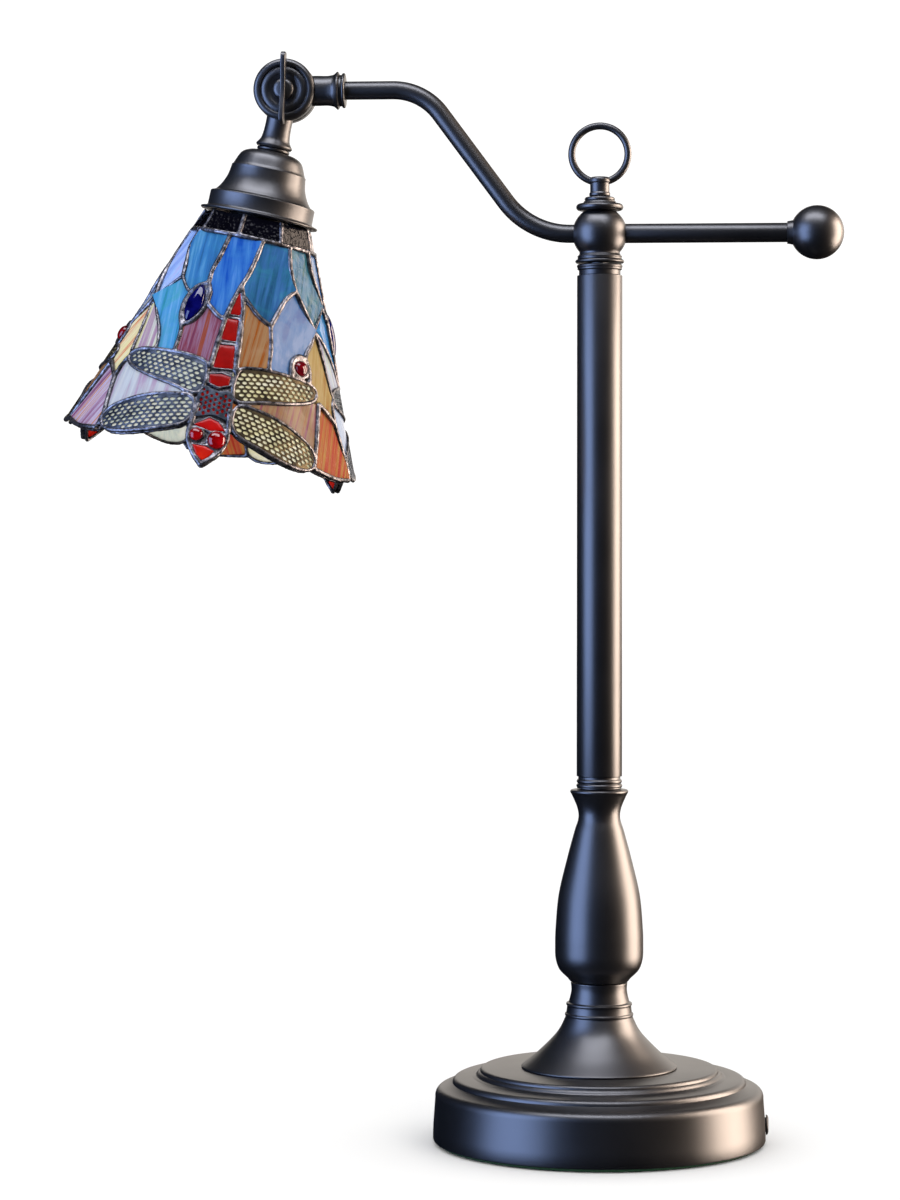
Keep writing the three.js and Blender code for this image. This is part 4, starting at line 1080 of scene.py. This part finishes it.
dice = random.Random(7)
for pane_name, sheet, lines in panes:
    for number, (mark, middle) in enumerate(sectors.items()):
        outline = drawn_in(chained(*lines), 0.45)
        pane = plate(f"{pane_name}_{mark}", [outline], glass_thickness - 0.4, 0)
        grain(pane, dice.uniform(-6, 6), dice.uniform(0, 0.9))
        if pane_name in ("lavender_pane", "tan_pane"):
            roll_up(pane, -glass_thickness / 2 - 0.2, middle)
        else:
            lay_flat(pane, outline, middle)
        kind = sheet if isinstance(sheet, str) else sheet[number]
        settle(pane, "head", "field_glass", sheets[kind], f"glass_field_{mark}")


# ---- Gallery band: nine black panes under the holder's lip ----
# Black hammered glass, whose small dimples catch the light.
hammered_black, tree, shader = new_material(
    "hammered_black_glass", Roughness=0.12, Specular_IOR_Level=0.06)
place = add_node(tree, "ShaderNodeUVMap", uv_map="grain").outputs["UV"]
dents = add_node(
    tree, "ShaderNodeTexVoronoi", {"Vector": place, "Scale": 1 / 0.0016}, feature="SMOOTH_F1")
bump = add_node(tree, "ShaderNodeBump", {
    "Height": dents.outputs["Distance"], "Strength": 0.6, "Distance": 0.0005})
tree.links.new(bump.outputs["Normal"], shader.inputs["Normal"])
depth = add_node(tree, "ShaderNodeTexNoise", {"Vector": place, "Scale": 1 / 0.006})
tint = add_node(tree, "ShaderNodeValToRGB", {"Fac": depth.outputs["Fac"]})
tint.color_ramp.elements[0].color = linear("#030308")
tint.color_ramp.elements[1].color = linear("#0b0b16")
tree.links.new(tint.outputs["Color"], shader.inputs["Base Color"])

band_bars = (-53, -13, 27)
band_top = band_foot + band_height
for mark, middle in sectors.items():
    for number, (start, end) in enumerate(zip(band_bars, (-13, 27, 67))):
        corners_on = [(start + (end - start) * i / 6, level)
                      for level, steps in ((band_foot, range(7)), (band_top, range(6, -1, -1)))
                      for i in steps]
        outline = drawn_in([drawn(*corner) for corner in corners_on], 0.4)
        pane = plate(f"band_pane_{mark}_{number}", [outline], glass_thickness - 0.4, 0)
        grain(pane, 0, dice.uniform(0, 0.9))
        lay_flat(pane, outline, middle)
        settle(pane, "head", "black_glass", hammered_black, "gallery_band")


# ---- Dragonfly: wings of pressed filigree over cream glass ----
# Each wing is a cream pane with a pierced brass filigree soldered over it. The filigree's oval
# holes run in staggered rows from the root to the tip.
upper_wing = [(8, 29.5), (22, 31.5), (38, 34.5), (48, 37.5), (52, 41), (51, 45), (44, 47.5),
              (30, 48.8), (16, 48.6), (7.6, 45)]
lower_wing = [(9.6, 13), (20, 6.5), (32, 1.5), (41, 0), (46.5, 3.5), (45.5, 12), (35, 20.3),
              (22, 25.7), (9.6, 26)]


def closed_curve(points, per_span=4):
    around = [points[-1], *points, points[0], points[1]]
    curve = flowing(around, per_span)
    return curve[per_span:-per_span - 1]


def clear_of(point, outline):
    """How far a point is inside an outline, in mm; negative outside."""
    inside, nearest = False, 1e9
    for a, b in zip(outline, outline[1:] + outline[:1]):
        span_on = b - a
        share = max(0, min(1, (point - a).dot(span_on) / max(span_on.length_squared, 1e-9)))
        nearest = min(nearest, (point - a - span_on * share).length)
        if (a.y > point.y) != (b.y > point.y):
            if point.x < a.x + (point.y - a.y) / (b.y - a.y) * span_on.x:
                inside = not inside
    return nearest if inside else -nearest


def pierced(outline, root, tip, long_hole, wide_hole, pitch, row_pitch, margin, jitter):
    """Oval holes in staggered rows along the line from root to tip."""
    way = (tip - root).normalized()
    side = Vector((-way.y, way.x))
    holes = []
    for row in range(-9, 10):
        for step in range(-2, 24):
            along = (step + 0.5 * (row % 2)) * pitch + dice.uniform(-jitter, jitter)
            over = row * row_pitch + dice.uniform(-jitter, jitter) * 0.5
            centre = root + way * along + side * over
            if clear_of(centre, outline) < margin:
                continue
            length = long_hole * dice.uniform(0.82, 1.12) / 2
            width = wide_hole * dice.uniform(0.85, 1.1) / 2
            lean = dice.uniform(-0.1, 0.1)
            leaning = Matrix.Rotation(lean, 2)
            hole = []
            for i in range(8):
                a = i * math.pi / 4
                x, y = leaning @ Vector((length * math.cos(a), width * math.sin(a)))
                hole.append(centre + way * x + side * y)
            holes.append(hole)
    return holes


def filigree_metal(name, hollow, crest):
    """Antiqued pressed metal: dark in its hollows, rubbed bright on its crests, finely pitted."""
    return mottled(name, 6, 4.0, hollow, crest, (0.35, 0.68), (0.58, 0.42),
                   (0.8, 2.0, 0.4, 0.1), Metallic=0.85)


# The left wings' filigree is a cool-tinted copy: painted cool light from the left lamp.
filigree_painted_cool_light = filigree_metal("filigree_painted_cool_light", "#23272f", "#565d68")
# The right wings' filigree is a warm-tinted copy: painted warm light from the right lamp.
filigree_painted_warm_light = filigree_metal("antiqued_brass_filigree", "#231e14", "#5a4f38")
cream_glass = streaky_glass(
    "cream_wing_glass", ["#d8d0a0", "#e6dfb0", "#efeac4", "#f4f0d8"], "#e0dcc4", 7, 20, 0.5, 1.08)
# The left wings' glass is a paler, bluish copy of the cream: painted cool light from the left lamp.
wing_glass_painted_cool_light = streaky_glass(
    "wing_glass_in_painted_cool_light", ["#c4d0cc", "#d8e0d4", "#e6e8dc", "#eef0e6"], "#dcdccc", 7, 20, 0.5, 1.08)

filigree_thickness = 0.45
for mark, middle in sectors.items():
    for side_name, side in (("right", 1), ("left", -1)):
        for level_name, shape, root_at, tip_at in (
                ("upper", upper_wing, (8, 39), (52, 42)),
                ("lower", lower_wing, (9.6, 19), (45, 4))):
            outline = [drawn(angle * side, up) for angle, up in closed_curve(shape)]
            root, tip = drawn(root_at[0] * side, root_at[1]), drawn(tip_at[0] * side, tip_at[1])
            wing_node = f"{level_name}_{side_name}_wing_{mark}"
            glass_pane = plate(
                f"{wing_node}_glass", [drawn_in(outline, 0.3)], glass_thickness - 0.6, 0.3)
            grain(glass_pane, dice.uniform(40, 80), dice.uniform(0, 0.9))
            roll_up(glass_pane, -glass_thickness / 2 - 0.05, middle)
            settle(glass_pane, "head", "dragonfly_glass",
                   cream_glass if side > 0 else wing_glass_painted_cool_light, wing_node)
            holes = pierced(outline, root, tip, 3.2, 1.95, 3.95, 2.35, 1.7, 0.12)
            filigree = plate(f"{wing_node}_filigree", [drawn_in(outline, 0.2), *holes],
                             filigree_thickness, 0.12)
            roll_up(filigree, filigree_thickness / 2, middle)
            settle(filigree, "head", "wing_filigree",
                   filigree_painted_warm_light if side > 0 else filigree_painted_cool_light, wing_node)


# ---- Solder metal: behind the body's glass here, and in every bead below ----
# Tin-lead solder with a dark patina in its skin and crowns rubbed bright. It cools with a lumpy
# skin, about 1 mm across.
patinated_solder = mottled(
    "patinated_solder", 3.5, 5.0, "#2a2a2e", "#8c898c", (0.36, 0.66), (0.45, 0.28),
    (1.1, 3.0, 0.55, 0.35), 0.65, Metallic=0.9)


# ---- Dragonfly's body, its eyes, and the loose jewels ----
# The tail is four red glass pieces set one under the other, the thorax is red glass under a
# scrap of pierced brass, and the head has a red pane, two round cabochon eyes and a red tip.
def cabochon(name, outline, rise, thickness, shoulder=0.6, steps=7):
    """A polished domed stone on the pattern, in mm: its outline drawn up to a crown."""
    centre = sum(outline, Vector((0, 0))) / len(outline)
    deselect()
    bpy.ops.mesh.primitive_circle_add(vertices=len(outline), radius=1, fill_type="NOTHING")
    stone = bpy.context.object
    stone.name = name
    area = sum(a.x * b.y - b.x * a.y for a, b in zip(outline, outline[1:] + outline[:1]))
    for vertex, point in zip(stone.data.vertices, outline if area > 0 else outline[::-1]):
        vertex.co = (point.x, point.y, -thickness)
    bpy.ops.object.mode_set(mode="EDIT")
    bpy.ops.mesh.select_all(action="SELECT")
    bpy.ops.mesh.extrude_region_move(TRANSFORM_OT_translate={"value": (0, 0, thickness)})
    scale, level = 1.0, 0.0
    for i in range(1, steps + 1):
        a = math.pi / 2 * i / (steps + 0.25)
        next_scale, next_level = math.cos(a) ** shoulder, rise * math.sin(a)
        lift = (0, 0, next_level - level)
        bpy.ops.mesh.extrude_region_move(TRANSFORM_OT_translate={"value": lift})
        share = next_scale / scale
        bpy.ops.transform.resize(value=(share, share, 1), center_override=(centre.x, centre.y, 0))
        scale, level = next_scale, next_level
    bpy.ops.mesh.select_all(action="SELECT")
    bpy.ops.mesh.fill_holes(sides=0)
    bpy.ops.mesh.select_all(action="SELECT")
    bpy.ops.mesh.normals_make_consistent(inside=False)
    bpy.ops.object.mode_set(mode="OBJECT")
    bpy.ops.object.shade_smooth_by_angle(angle=math.radians(50))
    return stone


def set_stone(stone, outline, proud, middle):
    centre = sum(outline, Vector((0, 0))) / len(outline)
    stone.data.transform(tangent_plane(centre, proud, middle))
    return stone


def jewel_glass(name, deep, lit, roughness=0.05, gloss=0.5):
    """Clear coloured glass: dark where it is deep, with a hard polish."""
    return mottled(name, 6, 2.0, deep, lit, (0.35, 0.7),
                   Roughness=roughness, Specular_IOR_Level=gloss)


blue_jewel_glass = jewel_glass("cobalt_jewel_glass", "#02023e", "#0c0e68")
red_jewel_glass = jewel_glass("garnet_jewel_glass", "#3c0610", "#7c0a14")
eye_glass = jewel_glass("ruby_eye_glass", "#6a0206", "#9c060c")
tail_glass = jewel_glass("red_tail_glass", "#840402", "#960806", 0.2, 0.2)
head_glass = jewel_glass("red_head_glass", "#a00304", "#b00606", 0.2, 0.2)
tip_glass = jewel_glass("orange_red_glass", "#ac0c00", "#c01c04", 0.2, 0.2)

tail_pieces = [
    [(0, 90), (-1.6, 82), (-2.9, 74.9), (3.7, 75.7), (2.6, 83)],
    [(-3.9, 72.5), (2.9, 72.9), (3.7, 60.9), (-4.3, 60.3)],
    [(-4.2, 57.4), (3.7, 58.4), (4.9, 45.8), (-4.6, 44.4)],
    [(-5.3, 40.4), (0, 41.9), (4.6, 41.2), (4.4, 36.6), (0, 34.6), (-4.7, 35.9)],
]
thorax = [(-7, 33.5), (0, 32), (6.4, 33), (7.6, 25), (7.4, 17.5), (0, 18.8), (-7.4, 16.5), (-8, 25)]
head_piece = [(-6.2, 12.0), (-0.8, 17.2), (3.2, 15.8), (6.4, 11.6), (0.4, 10.2)]
tip_piece = [(-4.9, 1.4), (0, 1.8), (3.7, 0), (1.9, -3.8), (-0.2, -6.2), (-2.8, -3.6)]
eyes = [((-4.4, 7.0), 3.6), ((3.7, 6.0), 4.9)]


def ring_of(angle, up, radius, sides=28):
    centre = drawn(angle, up)
    return [centre + Vector((math.cos(a), math.sin(a))) * radius
            for a in [i * math.tau / sides for i in range(sides)]]


def marquise(angle, up, length, width, tilt, steps=12):
    centre = drawn(angle, up)
    bulge = length * length / 4 / width + width / 4
    reach = math.asin(length / 2 / bulge)
    side = [Vector((bulge * math.cos(a) - bulge + width / 2, bulge * math.sin(a)))
            for a in [-reach + 2 * reach * i / steps for i in range(steps)]]
    turn = Matrix.Rotation(math.radians(tilt), 2)
    return [centre + turn @ point for point in side + [-point for point in side]]


blue_outline = marquise(-26, 77, 24.5, 9.6, -12)
red_outline = ring_of(42, 54, 4.3)
body_side = [(0, -8.5), (5.2, -1), (7.4, 6), (7.4, 14), (6.6, 24), (5.8, 33), (5.3, 46),
             (4.4, 66), (3.4, 80)]
body_shape = [*body_side, (0, 91), *[(-angle, up) for angle, up in reversed(body_side[1:])]]
for mark, middle in sectors.items():
    body_node = f"dragonfly_body_{mark}"
    body_line = [drawn(*place_on) for place_on in body_shape]
    backing = plate(f"body_backing_{mark}", [drawn_in(body_line, 0.3)], 2.0, 0)
    roll_up(backing, -1.4, middle)
    settle(backing, "head", "wing_filigree", patinated_solder, body_node)
    for number, piece_of in enumerate([*tail_pieces, head_piece, tip_piece]):
        outline = [drawn(*place_on) for place_on in piece_of]
        fine = []
        for a, b in zip(outline, outline[1:] + outline[:1]):
            fine += [a.lerp(b, i / 3) for i in range(3)]
        stone = cabochon(f"body_glass_{mark}_{number}", fine, 0.9, 3.2, 0.35, 5)
        set_stone(stone, fine, 0.1, middle)
        kind = (tail_glass, tail_glass, tail_glass, tail_glass, head_glass, tip_glass)[number]
        settle(stone, "head", "dragonfly_glass", kind, body_node)
    thorax_line = [drawn(*place_on) for place_on in closed_curve(thorax, 4)]
    chest = plate(f"thorax_glass_{mark}", [drawn_in(thorax_line, 0.4)], 3.0, 0.3)
    grain(chest, 20, 0.2)
    roll_up(chest, -1.3, middle)
    settle(chest, "head", "dragonfly_glass", tail_glass, body_node)
    holes = pierced(thorax_line, drawn(0, 33), drawn(0, 16), 2.2, 1.8, 3.0, 2.5, 1.5, 0.25)
    scrap = plate(f"thorax_filigree_{mark}", [thorax_line, *holes], 0.7, 0.16)
    roll_up(scrap, 0.55, middle)
    # The thorax's filigree is the cool-tinted copy, with its painted cool light.
    settle(scrap, "head", "wing_filigree", filigree_painted_cool_light, body_node)
    for number, ((angle, up), radius) in enumerate(eyes):
        outline = ring_of(angle, up, radius)
        stone = cabochon(f"eye_{mark}_{number}", outline, radius * 0.62, 3.4, 1.0, 9)
        set_stone(stone, outline, 1.0, middle)
        settle(stone, "head", "dragonfly_glass", eye_glass, body_node)
    stone = cabochon(f"blue_cabochon_{mark}", blue_outline, 2.9, 4.0, 1.0, 9)
    set_stone(stone, blue_outline, 0.6, middle)
    settle(stone, "head", "blue_jewel_glass", blue_jewel_glass, f"blue_jewel_{mark}")
    stone = cabochon(f"red_cabochon_{mark}", red_outline, 2.3, 4.0, 1.0, 9)
    set_stone(stone, red_outline, 0.9, middle)
    settle(stone, "head", "red_jewel_glass", red_jewel_glass, f"red_jewel_{mark}")


# ---- Solder: beads along every line, outside and inside ----
# Tin-lead solder is run over the copper foil by hand, so the beads swell where they meet and
# waver between. Dark patina settles in their skin and the crowns are rubbed bright.
bead = 1.5
inner_bead = 1.2
head_side = body_side[:5]
heavy = ("tail_left_low", "tail_right_low", "tail_left_high", "tail_right_high")
fine_lines = ("sky_foot", "periwinkle_foot", "azure_left", "pearl_left")


def solder_run(name, runs, middle, sink, voxel):
    """Beads of solder as one skin: each run is (points on the pattern, radius, closed)."""
    line = bpy.data.curves.new(name, "CURVE")
    line.dimensions = "3D"
    line.bevel_depth = MM
    line.bevel_resolution = 2
    line.use_fill_caps = True
    for points, radius, closed in runs:
        run = strung(line, [rolled(point, -sink, middle) for point in points], closed)
        for place_on, point in zip(run.points, points):
            here = rolled(point, 0, middle)
            place_on.radius = radius * (1 + 0.16 * noise.noise(here / (6 * MM)))
    made = as_mesh(name, line)
    melt = made.modifiers.new("melt", "REMESH")
    melt.mode = "VOXEL"
    melt.voxel_size = voxel * MM
    bpy.ops.object.modifier_apply(modifier=melt.name)
    even = made.modifiers.new("even", "SMOOTH")
    even.factor = 0.5
    even.iterations = 2
    bpy.ops.object.modifier_apply(modifier=even.name)
    # All the normals are read before any vertex moves, because each move would spoil them.
    normals = [vertex.normal.copy() for vertex in made.data.vertices]
    for vertex, normal in zip(made.data.vertices, normals):
        vertex.co += normal * 0.14 * MM * noise.noise(vertex.co / (1.7 * MM))
    bpy.ops.object.shade_smooth()
    return made


def on_pattern(points, per_span=4):
    return [drawn(*place_on) for place_on in flowing(points, per_span)]


half_third = [(-60 + 10 * i, band_foot) for i in range(13)]
half_top = [(-60 + 10 * i, band_top - 0.5) for i in range(13)]
for mark, middle in sectors.items():
    outer = []
    inner = []
    for line_name, points in leading.items():
        radius = bead * (1.1 if line_name in heavy else 0.74 if line_name in fine_lines else 1)
        outer.append((on_pattern(points), radius, False))
        inner.append((on_pattern(points, 3), inner_bead, False))
    outer.append(([drawn(*place_on) for place_on in half_third], bead, False))
    for points in (half_third, half_top):
        inner.append(([drawn(*place_on) for place_on in points], inner_bead, False))
    for bar in band_bars:
        outer.append(([drawn(bar, band_foot), drawn(bar, band_top)], bead, False))
    for shape in (upper_wing, lower_wing):
        for side in (1, -1):
            rim = [drawn(angle * side, up) for angle, up in closed_curve(shape)]
            outer.append((rim, 1.25, True))
            inner.append((rim, 1.1, True))
    for piece_of in tail_pieces:
        around = drawn_in([drawn(*place_on) for place_on in piece_of], -0.6)
        outer.append((around, 1.0, True))
    for side in (1, -1):
        edge_line = on_pattern([(angle * side, up) for angle, up in head_side])
        outer.append((edge_line, bead, False))
        inner.append((edge_line, inner_bead, False))
    for piece_of in (head_piece, tip_piece):
        outer.append((drawn_in([drawn(*place_on) for place_on in piece_of], -0.4), 0.85, True))
    for (angle, up), radius in eyes:
        outer.append((ring_of(angle, up, radius + 0.3), 0.8, True))
    outer.append((drawn_in(blue_outline, -0.9), 1.15, True))
    outer.append((ring_of(42, 54, 5.1), 1.15, True))
    outside = solder_run(f"solder_outside_{mark}", outer, middle, 0.15, 0.5)
    settle(outside, "head", "wing_filigree", patinated_solder, f"glass_field_{mark}")
    inside_beads = solder_run(f"solder_inside_{mark}", inner, middle, glass_thickness + 0.1, 0.8)
    settle(inside_beads, "head", "wing_filigree", patinated_solder, f"glass_field_{mark}")
